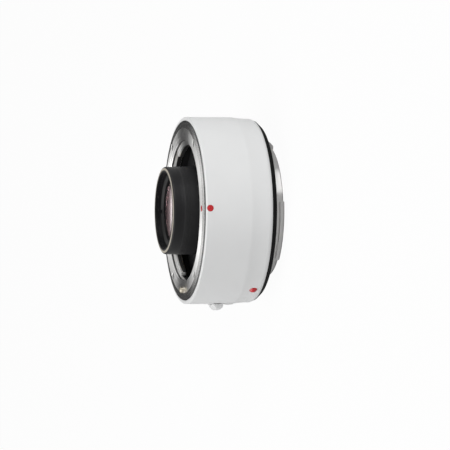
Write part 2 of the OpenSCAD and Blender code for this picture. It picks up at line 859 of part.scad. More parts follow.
module tube_screws() {
    color("dimgray") for (a = tube_screw_at)
        clock(a, tube_screw_r, tube_flange_z - slip)
            pan_screw(small_head, small_head_h - slip, small_shaft, tube_flange_t + deck_t - sliver);
}

// A threaded ring with two spanner slots that keeps the front element in place.
module front_retainer() {
    color("black") difference() {
        rotate_extrude()
            polygon([
                [keeper_in, keeper_z],
                [recess_r - slip, keeper_z],
                [recess_r - slip, keeper_top],
                [keeper_in + keeper_bevel, keeper_top],
                [keeper_in, keeper_z + keeper_t / 2]
            ]);
        for (a = [0, 180])
            clock(a)
                bar(keeper_in - sliver, recess_r, spanner_w, keeper_top - spanner_depth, keeper_top + sliver);
    }
}

module ball(curve, z) {
    translate([0, 0, z]) sphere(r = abs(curve), $fn = fine);
}

// What lies behind an element's front surface.
module behind_front(curve, z, reach) {
    if (curve > 0) ball(curve, z + sag(curve, glass_r) - curve);
    else rod(glass_d, z - reach, z);
}

// What lies ahead of an element's rear surface.
module ahead_of_rear(curve, z, reach) {
    if (curve < 0) ball(curve, z - sag(curve, glass_r) - curve);
    else rod(glass_d, z, z + reach);
}

// One glass element, ground round and cut by its two surfaces.
module element(i) {
    z_front = edge_z[i];
    z_rear = z_front - edge_t[i];
    f = front_curve[i];
    b = rear_curve[i];
    color("lightblue") difference() {
        intersection() {
            rod(glass_r, z_rear - glass_r, z_front + glass_r, $fn = fine);
            behind_front(f, z_front, glass_d);
            ahead_of_rear(b, z_rear, glass_d);
        }
        if (f < 0) ball(f, z_front - sag(f, glass_r) - f);
        if (b > 0) ball(b, z_rear + sag(b, glass_r) - b);
    }
}

// Between the first and the second group.
module spacer_1() {
    color("dimgray") ring(spacer_in, glass_r, second_edge, edge_z[1] - edge_t[1]);
}

// Between the second and the third group, raised over the swelling glass below it.
module spacer_2() {
    color("dimgray")
        ring(
            spacer_in, glass_r,
            third_edge + rise(front_curve[5], spacer_in) + cement,
            edge_z[4] - edge_t[4]
        );
}

// A dish that closes the space round the nose.
module front_baffle() {
    color("black") difference() {
        rotate_extrude()
            polygon([
                [root_r + nose_gap, baffle_z],
                [ring_in - slip, baffle_z],
                [ring_in - slip, baffle_rim_z],
                [ring_in - slip - baffle_wall, baffle_rim_z],
                [ring_in - slip - baffle_wall, baffle_top],
                [root_r + nose_gap, baffle_top]
            ]);
        sector(
            block_in - slip, block_out + slip, baffle_z - sliver, baffle_top + sliver,
            contact_at, block_half + slip
        );
    }
}

// Clock angle of one contact.
function contact_clock(i) = contact_at + (i - (contact_n - 1) / 2) * contact_step;

module front_contact_block() {
    color("black") difference() {
        sector(block_in, block_out, deck_top, block_z, contact_at, block_half);
        for (i = [0:contact_n - 1])
            clock(contact_clock(i), contact_r) {
                rod(pin_r + run, deck_top - sliver, block_z + sliver);
                rod(collar_r + run, deck_top - sliver, collar_z);
            }
        for (s = [-1, 1])
            clock(contact_at + s * block_screw, contact_r, block_z)
                pan_hole(small_head, 2 * small_head_h, small_shaft, block_h + sliver);
    }
}

module front_contact_screws() {
    color("dimgray") for (s = [-1, 1])
        clock(contact_at + s * block_screw, contact_r, block_z - small_head_h)
            pan_screw(small_head, small_head_h, small_shaft, block_h - small_head_h + deck_t - sliver);
}

// A turned pin with a collar and a round tip, pushed up by its spring.
module contact_pin(i) {
    tip = block_z + pin_out;
    color("gold") clock(contact_clock(i), contact_r) {
        rod(pin_r, pin_bottom, tip - pin_r);
        rod(collar_r, pin_bottom, collar_z);
        translate([0, 0, tip - pin_r]) sphere(r = pin_r);
    }
}

module contact_spring(i) {
    color("silver") clock(contact_clock(i), contact_r)
        coil(collar_r - 2 * pin_wire, pin_wire, spring_floor, pin_bottom, pin_turns);
}

// A lug on the rear mount's ledge for one small screw.
module rear_lug(angle, r) {
    clock(angle, r) rod(lug_r, ledge_z, rear_flange_t);
    clock(angle) bar(r, spigot_in + sliver, 2 * (lug_r - free), ledge_z, rear_flange_t);
}

module rear_mount() {
    color("silver") difference() {
        union() {
            rotate_extrude()
                polygon([
                    [ledge_r, ledge_z],
                    [spigot_in, ledge_z],
                    [spigot_in, spigot_z],
                    [neck_r - rear_bevel, spigot_z],
                    [neck_r, spigot_z + rear_bevel],
                    [neck_r, 0],
                    [rear_flange_r - rear_bevel / 2, 0],
                    [rear_flange_r, rear_bevel / 2],
                    [rear_flange_r, rear_flange_t],
                    [ledge_r, rear_flange_t]
                ]);
            for (i = [0:len(tab_at) - 1])
                rotate([0, 0, -90 - tab_at[i] - tab_span[i] / 2]) rotate_extrude(angle = tab_span[i])
                    polygon([
                        [spigot_in + sliver, spigot_z],
                        [rear_tab_r - rear_bevel, spigot_z],
                        [rear_tab_r, spigot_z + rear_bevel],
                        [rear_tab_r, rear_tab_z],
                        [spigot_in + sliver, rear_tab_z]
                    ]);
            for (s = [-1, 1]) rear_lug(contact_at + s * block_screw, contact_r);
            for (a = baffle_screw_at) rear_lug(a, baffle_screw_r);
        }
        for (a = rear_screw_at)
            clock(a, rear_screw_r) mirror([0, 0, 1]) flat_hole(mount_head, mount_shaft, mount_screw_len);
        clock(lever_at, lock_r) {
            bar(
                -lock_slot_w / 2, lock_slot_w / 2, lock_slot_len - lock_slot_w,
                -sliver, rear_flange_t + sliver
            );
            for (s = [-1, 1])
                translate([0, s * (lock_slot_len - lock_slot_w) / 2, 0])
                    rod(lock_slot_w / 2, -sliver, rear_flange_t + sliver);
        }
        for (s = [-1, 1])
            clock(contact_at + s * block_screw, contact_r)
                rod(small_shaft + slip, ledge_z - sliver, rear_flange_t + sliver);
        for (a = baffle_screw_at)
            clock(a, baffle_screw_r) rod(small_shaft + slip, ledge_z - sliver, rear_flange_t + sliver);
    }
}

module rear_mount_screws() {
    color("dimgray") for (a = rear_screw_at)
        clock(a, rear_screw_r, slip) mirror([0, 0, 1]) flat_screw(mount_head, mount_shaft, mount_screw_len);
}

module rear_shim() {
    color("gold") difference() {
        ring(rim_in + slip, rear_flange_r - slip, rear_flange_t, frame_z);
        for (a = rear_screw_at) clock(a, rear_screw_r) rod(mount_shaft + run, 0, rim_top);
    }
}

// A rubber skirt round the rear flange, seated between the barrel and the frame.
module rear_seal() {
    color("black") rotate_extrude()
        polygon([
            [rear_flange_r + slip, frame_z],
            [bore_r - slip, frame_z],
            [bore_r - slip, barrel_rear],
            [rear_end_r, barrel_rear],
            [rear_end_r, barrel_rear - seal_edge],
            [seal_end_r, -seal_reach],
            [rear_flange_r + slip, -seal_reach],
            [rear_flange_r + slip, frame_z]
        ]);
}

// A stepped funnel inside the rear mount that keeps stray light away.
module rear_baffle() {
    run_in = (mouth_d - light_d) / 2 / trap_n;
    run_up = (web_z - web_t - rear_face_z) / trap_n;
    steps = [
        for (i = [0:trap_n - 1], k = [0, 1])
            [mouth_d / 2 - (i + k) * run_in, rear_face_z + (i + 1) * run_up]
    ];
    color("black") difference() {
        rotate_extrude()
            polygon(concat(
                [
                    [tube_r + free, ledge_z],
                    [spigot_in - slip, ledge_z],
                    [spigot_in - slip, rear_face_z],
                    [mouth_d / 2, rear_face_z]
                ],
                steps,
                [
                    [light_d / 2, web_z],
                    [tube_r + free, web_z]
                ]
            ));
        sector(
            rear_block_in - slip, spigot_in + sliver, rear_face_z - sliver, ledge_z + sliver,
            contact_at, block_half + slip
        );
        for (a = baffle_screw_at)
            clock(a, baffle_screw_r, rear_face_z) mirror([0, 0, 1])
                pan_hole(small_head, tube_rear, small_shaft, spigot_len);
    }
}

module rear_baffle_screws() {
    color("dimgray") for (a = baffle_screw_at)
        clock(a, baffle_screw_r, rear_face_z + tube_rear - small_head_h) mirror([0, 0, 1])
            pan_screw(small_head, small_head_h, small_shaft, spigot_len - tube_rear + small_head_h + sliver);
}

module rear_contact_block() {
    color("black") difference() {
        sector(rear_block_in, spigot_in - 2 * slip, -pad_depth, ledge_z, contact_at, block_half);
        for (i = [0:contact_n - 1])
            clock(contact_clock(i), contact_r)
                bar(
                    -pad_len / 2 - slip, pad_len / 2 + slip, pad_w + 2 * slip,
                    -pad_depth - sliver, pad_t - pad_depth
                );
        for (s = [-1, 1])
            clock(contact_at + s * block_screw, contact_r, -pad_depth) mirror([0, 0, 1])
                pan_hole(small_head, 2 * small_head_h, small_shaft, spigot_len);
    }
}

module rear_contact_pads() {
    color("gold") for (i = [0:contact_n - 1])
        clock(contact_clock(i), contact_r)
            bar(-pad_len / 2, pad_len / 2, pad_w, -pad_depth - pad_out, pad_t - pad_depth);
}

module rear_contact_screws() {
    color("dimgray") for (s = [-1, 1])
        clock(contact_at + s * block_screw, contact_r, small_head_h - pad_depth) mirror([0, 0, 1])
            pan_screw(small_head, small_head_h, small_shaft, pad_depth + ledge_z - small_head_h + 2 * sliver);
}

module circuit_board() {
    color("darkgreen") difference() {
        ring(board_in, board_out, board_under, board_z);
        for (a = post_at) clock(a, post_at_r) rod(small_shaft + run, board_under - sliver, board_z + sliver);
    }
}

// Chips under the circuit board.
module board_chips() {
    color("dimgray") for (i = [0:len(chip_at) - 1])
        clock(chip_at[i], chip_r)
            bar(
                -chip_w * chip_scale[i] / 2, chip_w * chip_scale[i] / 2, chip_w * chip_scale[i],
                board_under - chip_h * chip_scale[i], board_under
            );
}

module board_screws() {
    color("silver") for (a = post_at)
        clock(a, post_at_r, board_under - small_head_h) mirror([0, 0, 1])
            pan_screw(small_head, small_head_h, small_shaft, small_head_h + board_t + board_drop / 2);
}

// Runs from under the contact pins over the deck's edge to the circuit board.
module front_flex() {
    color("orange") {
        sector(
            block_in + slip, block_out + flex_t, deck_top - flex_t, deck_top,
            contact_at, block_screw - flex_trim
        );
        sector(block_out, block_out + flex_t, board_z, deck_top, contact_at, flex_half);
    }
}

// Runs from the circuit board down to the rear contact block.
module rear_flex() {
    color("orange")
        sector(flex_r, flex_r + flex_t, ledge_z, board_under, contact_at, flex_half);
}

// Turns an outline drawn as (axis, height) to stand on the barrel, with a width across.
module along_axis(width) {
    rotate([-90, 0, 0]) rotate([0, 0, -90]) linear_extrude(height = width, center = true) children();
}

// Turns an outline drawn as (across, height) to stand on the barrel.
module across_axis(low, high) {
    translate([0, 0, low]) rotate([0, 0, -90]) linear_extrude(height = high - low) children();
}

// The lever seen from the side: a steep front face, a short flat and a rounded back.
function lever_side() =
    let (
        crest = lever_front - lever_lean,
        back = lever_len - lever_lean - lever_flat,
        top = barrel_r + lever_h
    )
    concat(
        [
            [lever_front, barrel_r],
            [crest + lever_lean * lever_round / lever_h / 2, top - lever_round / 2],
            [crest - lever_flat / 2, top]
        ],
        [
            for (i = [0:arc_steps])
                let (turn = 90 * i / arc_steps)
                    [crest - lever_flat - back * sin(turn), barrel_r + lever_h * cos(turn)]
        ],
        [[lever_front - lever_len, barrel_r - sliver], [lever_front, barrel_r - sliver]]
    );

// The lever seen along the axis: upright sides with rounded upper corners.
function lever_end() =
    let (side = lever_w / 2 - lever_round, top = barrel_r + lever_h - lever_round)
    concat(
        [[-lever_w / 2, 0]],
        [
            for (s = [-1, 1], i = [0:arc_steps])
                let (turn = 90 * (s < 0 ? i : arc_steps - i) / arc_steps)
                    [s * (side + lever_round * cos(turn)), top + lever_round * sin(turn)]
        ],
        [[lever_w / 2, 0]]
    );

module release_lever() {
    color("white") difference() {
        union() {
            difference() {
                clock(lever_at) intersection() {
                    along_axis(2 * lever_w) polygon(lever_side());
                    across_axis(0, flange_gap) polygon(lever_end());
                }
                rod(barrel_r + free, 0, flange_gap, $fn = fine);
            }
            clock(lever_at) bar(shield_out, barrel_r + lever_h / 2, stem_w, stem_bottom, stem_top);
        }
        clock(lever_at) lever_screw_bore();
    }
}

// The bore for the screw that joins the lever to its slider.
module lever_screw_bore() {
    translate([slider_in, 0, lever_screw_z]) rotate([0, -90, 0])
        pan_hole(small_head, small_head_h, small_shaft, lever_screw_len);
}

module lock_slider() {
    color("dimgray") clock(lever_at) difference() {
        union() {
            bar(slider_in, shield_out, slider_w, slider_z, slider_top);
            bar(shield_in, shield_out, shield_w, shield_bottom, shield_top);
            translate([lock_r, 0, 0]) rod(lock_coil_r - 2 * lock_wire, slider_z - sliver, slider_z + sliver);
        }
        translate([lock_r, 0, 0]) rod(lock_pin_r + slip, lock_root_z, slider_top + sliver);
        lever_screw_bore();
        translate([lock_r, 0, 0])
            rod(lock_collar_r + slip, slider_top, pocket_top);
    }
}

module lock_pin() {
    color("silver") clock(lever_at, lock_r) {
        rod(lock_pin_r, lock_root_z, lock_tip_z);
        rod(lock_collar_r, slider_top, pocket_top);
        rotate_extrude()
            polygon([
                [0, lock_root_z],
                [lock_tip_r, lock_root_z],
                [lock_tip_r, lock_end_z - lock_bevel],
                [lock_tip_r - lock_bevel, lock_end_z],
                [0, lock_end_z]
            ]);
    }
}

module lever_screw() {
    color("dimgray") clock(lever_at, slider_in, lever_screw_z) rotate([0, -90, 0])
        pan_screw(small_head, small_head_h, small_shaft, lever_screw_len);
}

module lock_spring() {
    color("silver") clock(lever_at, lock_r)
        coil(lock_coil_r, lock_wire, pocket_floor, slider_z, lock_turns);
}

lock_line = coil_line(lock_coil_r, lock_wire, pocket_floor, slider_z, lock_turns);
echo(lock_spring_gap = coil_gap(lock_line, lock_wire));
pin_line = coil_line(collar_r - 2 * pin_wire, pin_wire, spring_floor, pin_bottom, pin_turns);
echo(contact_spring_gap = coil_gap(pin_line, pin_wire));

barrel();
front_index_dot();
rear_index_dot();
front_mount();
flange_index_dot();
front_mount_screws();
mount_spring();
main_frame();
lens_tube();
tube_screws();
front_retainer();
spacer_1();
spacer_2();
front_baffle();
front_contact_block();
front_contact_screws();
rear_mount();
rear_mount_screws();
rear_shim();
rear_seal();
rear_baffle();
rear_baffle_screws();
rear_contact_block();
rear_contact_pads();
rear_contact_screws();
circuit_board();
board_chips();
board_screws();
front_flex();
rear_flex();
release_lever();
lock_slider();
lock_pin();
lever_screw();
lock_spring();
element(0);  // element_1
element(1);  // element_2
element(2);  // element_3
element(3);  // element_4
element(4);  // element_5
element(5);  // element_6
element(6);  // element_7
for (i = [0:contact_n - 1]) contact_pin(i);
for (i = [0:contact_n - 1]) contact_spring(i);
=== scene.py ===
import math
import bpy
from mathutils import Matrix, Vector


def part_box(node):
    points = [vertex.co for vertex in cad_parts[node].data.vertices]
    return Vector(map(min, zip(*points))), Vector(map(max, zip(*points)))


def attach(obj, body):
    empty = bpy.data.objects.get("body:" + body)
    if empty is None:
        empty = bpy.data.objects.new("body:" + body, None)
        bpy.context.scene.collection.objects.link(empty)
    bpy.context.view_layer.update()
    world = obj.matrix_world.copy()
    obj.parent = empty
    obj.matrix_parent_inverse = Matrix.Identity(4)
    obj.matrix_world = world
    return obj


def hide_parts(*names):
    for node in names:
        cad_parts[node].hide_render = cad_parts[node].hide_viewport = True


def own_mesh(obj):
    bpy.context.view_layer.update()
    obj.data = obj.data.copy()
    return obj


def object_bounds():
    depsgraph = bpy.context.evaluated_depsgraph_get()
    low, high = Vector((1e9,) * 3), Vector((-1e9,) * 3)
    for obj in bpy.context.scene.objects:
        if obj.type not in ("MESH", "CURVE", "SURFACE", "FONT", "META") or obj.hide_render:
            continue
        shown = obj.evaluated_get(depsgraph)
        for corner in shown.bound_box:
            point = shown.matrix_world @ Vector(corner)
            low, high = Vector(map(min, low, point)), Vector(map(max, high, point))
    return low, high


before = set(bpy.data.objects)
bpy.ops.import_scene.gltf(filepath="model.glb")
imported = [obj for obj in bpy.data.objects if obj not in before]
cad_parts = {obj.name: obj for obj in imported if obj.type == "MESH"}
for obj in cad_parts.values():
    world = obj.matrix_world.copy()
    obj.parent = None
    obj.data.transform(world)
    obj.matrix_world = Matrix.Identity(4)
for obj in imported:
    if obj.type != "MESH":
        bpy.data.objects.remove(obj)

from types import SimpleNamespace

import bpy
from bpy.props import FloatProperty, FloatVectorProperty, IntProperty, PointerProperty
from mathutils import Matrix, Vector

bl_info = {
    "name": "Lens Converter",
    "version": (1, 0, 0),
    "blender": (4, 5, 0),
    "location": "3D View > Sidebar > Converter",
    "description": "Models and dresses the pieces of a lens converter round its packed frame",
    "category": "Object",
}

CAD_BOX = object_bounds()
MM = 0.001
TURN_STEPS = 192
SMALL_STEPS = 48
SLIVER = 0.5
SLIP = 0.05
MERGE = 1e-7

# Clock angles in degrees: 0 towards the index dot, 90 towards the lever, 180 towards the contacts.
LEVER_AT = 90
CONTACT_AT = 180
BLOCK_SCREWS_AT = (150.4, 209.6)
FRONT_SCREWS_AT = (55, 125, 235, 305)
REAR_SCREWS_AT = (35, 145, 215, 325)
BAFFLE_SCREWS_AT = (45, 315)
TUBE_SCREWS_AT = (0, 120, 240)
REAR_DOT_AT = 60
TABS = ((20, 52), (138, 52), (265, 56))
CONTACTS = tuple((i + 1, CONTACT_AT + (i - 3.5) * 6.6) for i in range(8))

# Lengths in millimetres that several pieces share.
SEAM = 0.12
DOT_DEEP = 0.25
REAR_DOT_DEEP = 0.68
POLISHED_FROM = 31.8
EDGE_FROM = 34.12
PAN_HEAD = 1.0
PAN_SHAFT = 0.55
BAFFLE_SCREWS_OUT = 22.2
COLLAR_LOW = 20.0
COLLAR_HIGH = 20.8


# Sizes and colours

def length(name, description, value):
    """A length that is given in millimetres and kept in metres."""
    return FloatProperty(name=name, description=description, default=value * MM, unit="LENGTH", precision=5)


def colour(name, description, value):
    return FloatVectorProperty(
        name=name, description=description, default=value, subtype="COLOR", min=0, max=1
    )


class BarrelSizes(bpy.types.PropertyGroup):
    """Sizes of the white barrel and its dots"""
    radius: length("Radius", "Radius of the front section", 36)
    rear_radius: length("Rear Radius", "Radius of the rear section", 35.45)
    end_radius: length("End Radius", "Radius of the rear edge", 34.85)
    bore: length("Bore", "Radius of the bore", 33.95)
    rear: length("Rear Edge", "Height of the rear edge", 0.5)
    rear_round: length("Rear Rounding", "Rounding of the rear edge", 2)
    taper_low: length("Taper Start", "Height at which the taper starts", 2.4)
    taper_high: length("Taper End", "Height at which the taper ends", 8.7)
    rim: length("Front Rim", "Height of the front rim", 26.55)
    rim_bevel: length("Rim Bevel", "Bevel of the front rim", 0.3)
    slot_width: length("Slot Width", "Width of the lever's slot", 4.2)
    slot_low: length("Slot Start", "Lower end of the lever's slot", 11)
    slot_high: length("Slot End", "Upper end of the lever's slot", 16.2)
    ridge_height: length("Ridge Height", "Height of the low ridge behind the lever", 0.36)
    ridge_top: length("Ridge Top", "Front end of the ridge", 10.65)
    ridge_length: length("Ridge Length", "Length of the ridge along the axis", 2.3)
    dot_radius: length("Front Dot Radius", "Radius of the flush dot", 1.25)
    dot_height: length("Front Dot Height", "Height of the flush dot's centre", 25.1)
    rear_dot_radius: length("Rear Dot Radius", "Radius of the raised dot", 1.5)
    rear_dot_height: length("Rear Dot Height", "Height of the raised dot's centre", 4)
    rear_dot_crown: length("Rear Dot Crown", "How far the raised dot stands out", 0.9)
    flange_dot_radius: length("Flange Dot Radius", "Radius of the dot on the front mount", 1.15)
    flange_dot_at: length("Flange Dot Place", "Distance of that dot from the axis", 30.3)


class MountSizes(bpy.types.PropertyGroup):
    """Sizes of the front and rear bayonets and their screws"""
    flange: length("Front Flange", "Height of the front flange's face", 27.2)
    radius: length("Front Radius", "Outer radius of the front mount", 34.5)
    throat: length("Throat", "Radius of the front throat", 27)
    tab: length("Front Tab", "Inner radius of the front tabs", 25.3)
    hub: length("Hub", "Outer radius of the hub below the flange", 28.1)
    seat: length("Seat", "Height of the flange's underside", 25.4)
    hub_low: length("Hub End", "Height of the hub's lower end", 23.6)
    tab_high: length("Tab Top", "Height of the front tabs' upper face", 25.8)
    screw_at: length("Front Screw Place", "Distance of the front screws from the axis", 30.6)
    rear_screw_at: length("Rear Screw Place", "Distance of the rear screws from the axis", 29.4)
    head: length("Screw Head", "Radius of the mount screws' heads", 1.5)
    shaft: length("Screw Shaft", "Radius of the mount screws' shafts", 0.7)
    screw_length: length("Screw Length", "Length of the mount screws", 4.4)
    rear_radius: length("Rear Radius", "Radius of the rear flange", 32.3)
    rear_flange: length("Rear Flange", "Thickness of the rear flange", 1.6)
    neck: length("Neck", "Radius of the rear neck", 25.4)
    spigot: length("Spigot Bore", "Inner radius of the rear spigot", 23.6)
    spigot_end: length("Spigot End", "Height of the spigot's rear end", -6.15)
    rear_tab: length("Rear Tab", "Outer radius of the rear tabs", 26.9)
    rear_tab_high: length("Rear Tab Top", "Height of the rear tabs' upper face", -4.5)
    ledge: length("Ledge", "Inner radius of the rear ledge", 21)


class LensSizes(bpy.types.PropertyGroup):
    """Sizes of the nose, the tube and the glass"""
    nose: length("Nose Radius", "Radius of the nose", 16.8)
    root: length("Root Radius", "Radius of the nose's root", 16.9)
    root_top: length("Root Top", "Height at which the root ends", 30.4)
    rim: length("Nose Rim", "Height of the nose's rim", 34.8)
    recess: length("Recess", "Radius of the recess in the nose", 14.9)
    seat: length("Glass Seat", "Height of the first glass's edge", 30.95)
    bore: length("Glass Bore", "Radius of the bore for the glass", 13.4)
    tube: length("Tube Radius", "Outer radius of the tube", 16.2)
    tube_rear: length("Tube End", "Height of the tube's rear end", -2)
    grooves: IntProperty(
        name="Grooves", description="Number of fine grooves round the nose's root", default=4
    )


class ReleaseSizes(bpy.types.PropertyGroup):
    """Sizes of the release lever and the locking pin"""
    front: length("Lever Front", "Front end of the lever's foot", 16.5)
    length: length("Lever Length", "Length of the lever along the axis", 4)
    width: length("Lever Width", "Width of the lever", 9)
    height: length("Lever Height", "Height of the lever over the barrel", 2.4)
    lean: length("Lever Lean", "Lean of the lever's front face", 1.4)
    flat: length("Lever Flat", "Flat on the lever's crest", 0.4)
    corner: length("Lever Corner", "Rounding of the lever's upper corners", 2)
    stem_width: length("Stem Width", "Width of the stem in its slot", 3.6)
    pin_at: length("Pin Place", "Distance of the locking pin from the axis", 30.5)
    pin: length("Pin Radius", "Radius of the locking pin", 1.5)
    tip: length("Pin Tip", "Radius of the pin's tip", 1.25)


class ContactSizes(bpy.types.PropertyGroup):
    """Sizes of the contact blocks, pins and pads"""
    ring: length("Contact Ring", "Distance of the contacts from the axis", 21.9)
    inner: length("Block Inside", "Inner radius of the front block", 19.85)
    outer: length("Block Outside", "Outer radius of the front block", 24.2)
    low: length("Block Floor", "Height of the front block's floor", 17.6)
    high: length("Block Top", "Height of the front block's top", 21.6)
    pin: length("Pin Radius", "Radius of a contact pin", 0.5)
    collar: length("Collar Radius", "Radius of a pin's collar", 0.85)
    tip: length("Pin Tip", "Height of the pins' tips", 22.7)
    rear_inner: length("Rear Block Inside", "Inner radius of the rear block", 19.6)
    rear_face: length("Rear Block Face", "Height of the rear block's face", -5.2)
    pad_length: length("Pad Length", "Length of a contact pad", 2.2)
    pad_width: length("Pad Width", "Width of a contact pad", 1.7)


class Finishes(bpy.types.PropertyGroup):
    """Colours of the finishes"""
    paint: colour("Paint", "White paint of the barrel and lever", (0.785, 0.79, 0.79))
    mark: colour("Mark", "Red of the index dots", (0.52, 0.006, 0.013))
    chrome: colour("Bayonet", "Bright turned metal of the mounts", (0.8, 0.795, 0.785))
    black: colour("Black", "Black finish of the nose", (0.009, 0.009, 0.01))
    rubber: colour("Rubber", "Black rubber of the seal", (0.006, 0.006, 0.006))
    gold: colour("Gold", "Plating of the contacts", (0.86, 0.6, 0.26))
    coating: colour("Coating", "Reflection of the glass coating", (1.0, 0.7, 0.74))
    floor: colour("Floor", "Pale floor", (0.68, 0.68, 0.68))


GROUPS = {
    "converter_barrel": BarrelSizes,
    "converter_mounts": MountSizes,
    "converter_lens": LensSizes,
    "converter_release": ReleaseSizes,
    "converter_contacts": ContactSizes,
    "converter_finishes": Finishes,
}


def sizes(context, name):
    """The values of one property group, with its lengths in millimetres."""
    group = getattr(context.scene, "converter_" + name)
    values = {}
    for prop in group.bl_rna.properties:
        if prop.identifier not in ("rna_type", "name"):
            value = getattr(group, prop.identifier)
            values[prop.identifier] = value / MM if prop.unit == "LENGTH" else value
    return SimpleNamespace(**values)


# Shaping

def deselect():
    if bpy.context.mode != "OBJECT":
        bpy.ops.object.mode_set(mode="OBJECT")
    bpy.ops.object.select_all(action="DESELECT")


def choose(*pieces):
    deselect()
    for piece in pieces:
        piece.select_set(True)
    bpy.context.view_layer.objects.active = pieces[0]
    return pieces[0]


def settle(piece):
    """Put the piece's place into its mesh."""
    choose(piece)
    bpy.ops.object.transform_apply(location=True, rotation=True, scale=True)
    return piece


def name_it(piece, name):
    piece.name = name
    piece.data.name = name
    return piece


def outline(corners, closed=True, steps=4):
    """Points of an outline. A corner with a third number is rounded by it and held on both sides."""
    points = []
    for i, corner in enumerate(corners):
        here = Vector(corner[:2])
        if len(corner) < 3 or not (closed or 0 < i < len(corners) - 1):
            points.append(here)
            continue
        back = (Vector(corners[i - 1][:2]) - here).normalized()
        ahead = (Vector(corners[(i + 1) % len(corners)][:2]) - here).normalized()
        half = back.angle(ahead) / 2
        reach = corner[2] / math.tan(half)
        centre = here + (back + ahead).normalized() * corner[2] / math.sin(half)
        first = here + back * reach - centre
        last = here + ahead * reach - centre
        begin = math.atan2(first.y, first.x)
        swing = (math.atan2(last.y, last.x) - begin + math.pi) % (2 * math.pi) - math.pi
        points.append(here + back * reach * 1.3)
        for k in range(steps + 1):
            turn = begin + swing * k / steps
            points.append(centre + corner[2] * Vector((math.cos(turn), math.sin(turn))))
        points.append(here + ahead * reach * 1.3)
    return points


def arc(centre, across, along, start, end, steps=8):
    """Points of an arc between two angles, with its half axes across and along."""
    points = []
    for i in range(steps + 1):
        turn = start + (end - start) * i / steps
        points.append((centre[0] + across * math.cos(turn), centre[1] + along * math.sin(turn)))
    return points


def draw(name, points):
    """Draw a line by extruding one corner from place to place."""
    deselect()
    bpy.ops.mesh.primitive_plane_add(size=MM, location=Vector(points[0]) * MM)
    piece = name_it(bpy.context.object, name)
    bpy.ops.object.mode_set(mode="EDIT")
    bpy.ops.mesh.select_all(action="SELECT")
    bpy.ops.mesh.merge(type="CENTER")
    for here, there in zip(points, points[1:]):
        step = (Vector(there) - Vector(here)) * MM
        bpy.ops.mesh.extrude_region_move(TRANSFORM_OT_translate={"value": step})
    bpy.ops.mesh.select_all(action="SELECT")
    bpy.ops.mesh.remove_doubles(threshold=MERGE)
    return piece


def close_up(piece):
    """Merge doubles, close open ends and point the faces outwards."""
    bpy.ops.mesh.select_all(action="SELECT")
    bpy.ops.mesh.remove_doubles(threshold=MERGE)
    bpy.ops.mesh.fill_holes(sides=0)
    bpy.ops.mesh.select_all(action="SELECT")
    bpy.ops.mesh.normals_make_consistent(inside=False)
    bpy.ops.object.mode_set(mode="OBJECT")
    return settle(piece)


def lathe(name, points, swing=360, steps=TURN_STEPS):
    """Turn an outline of radius and height round the axis. A part turn is centred on +X."""
    lead = math.radians(swing / 2)
    ring = [(p[0] * math.cos(lead), p[0] * math.sin(lead), p[1]) for p in points]
    if points[0][0] > 0:
        ring.append(ring[0])
    piece = draw(name, ring)
    bpy.ops.mesh.spin(steps=steps, angle=math.radians(swing), center=(0, 0, 0), axis=(0, 0, 1))
    return close_up(piece)


def rod(name, radius, low, high, steps=SMALL_STEPS):
    """A plain round bar between two heights, as a start or a cutter."""
    return lathe(name, [(0, low), (radius, low), (radius, high), (0, high)], 360, steps)


def sector(name, inner, outer, low, high, swing, steps=SMALL_STEPS):
    """A plain part of a ring between two heights."""
    return lathe(name, [(inner, low), (outer, low), (outer, high), (inner, high)], swing, steps)


def prism(name, points, depth):
    """Raise a closed outline given in X and Y, from no height to depth."""
    piece = draw(name, [(p[0], p[1], 0) for p in points] + [(points[0][0], points[0][1], 0)])
    bpy.ops.mesh.edge_face_add()
    bpy.ops.mesh.extrude_region_move(TRANSFORM_OT_translate={"value": (0, 0, depth * MM)})
    return close_up(piece)


def block(name, low, high):
    """A plain block between two corners, as a start or a cutter."""
    deselect()
    low, high = Vector(low) * MM, Vector(high) * MM
    bpy.ops.mesh.primitive_cube_add(size=1, location=(low + high) / 2, scale=high - low)
    return settle(name_it(bpy.context.object, name))


def at_clock(piece, angle, out=0, height=0, facing="up"):
    """Turn a piece to a clock angle, moved out and up. Its top may face up, down or outwards."""
    lean = {"up": 0, "down": math.pi, "out": math.pi / 2}[facing]
    heading = Matrix.Rotation(math.radians(-90 - angle), 4, "Z")
    place = Matrix.Translation(Vector((out, 0, height)) * MM)
    piece.matrix_world = heading @ place @ Matrix.Rotation(lean, 4, "Y")
    return settle(piece)


def twin(piece, name):
    choose(piece)
    bpy.ops.object.duplicate(linked=False)
    return name_it(bpy.context.object, name)


def remove(piece):
    bpy.data.objects.remove(piece, do_unlink=True)


def row(piece, name, places):
    """Copies of one piece at several places, joined as one object. A place is what at_clock takes."""
    made = [at_clock(twin(piece, name), **place) for place in places]
    remove(piece)
    choose(*made)
    bpy.ops.object.join()
    return name_it(bpy.context.object, name)


def combine(piece, tool, operation="DIFFERENCE"):
    """Cut a piece with a tool, or join the two, and use the tool up."""
    choose(piece)
    bpy.ops.object.modifier_add(type="BOOLEAN")
    step = piece.modifiers[-1]
    step.operation = operation
    step.solver = "EXACT"
    step.object = tool
    bpy.ops.object.modifier_apply(modifier=step.name)
    remove(tool)
    if not piece.data.polygons:
        raise RuntimeError(f"{piece.name} was cut away")
    return piece


def round_edges(piece, width, segments=3, angle=35):
    choose(piece)
    bpy.ops.object.modifier_add(type="BEVEL")
    step = piece.modifiers[-1]
    step.width = width * MM
    step.segments = segments
    step.limit_method = "ANGLE"
    step.angle_limit = math.radians(angle)
    step.harden_normals = False
    bpy.ops.object.modifier_apply(modifier=step.name)
    return piece


def smooth(piece, angle=32):
    choose(piece)
    bpy.ops.object.shade_smooth_by_angle(angle=math.radians(angle))
    return piece


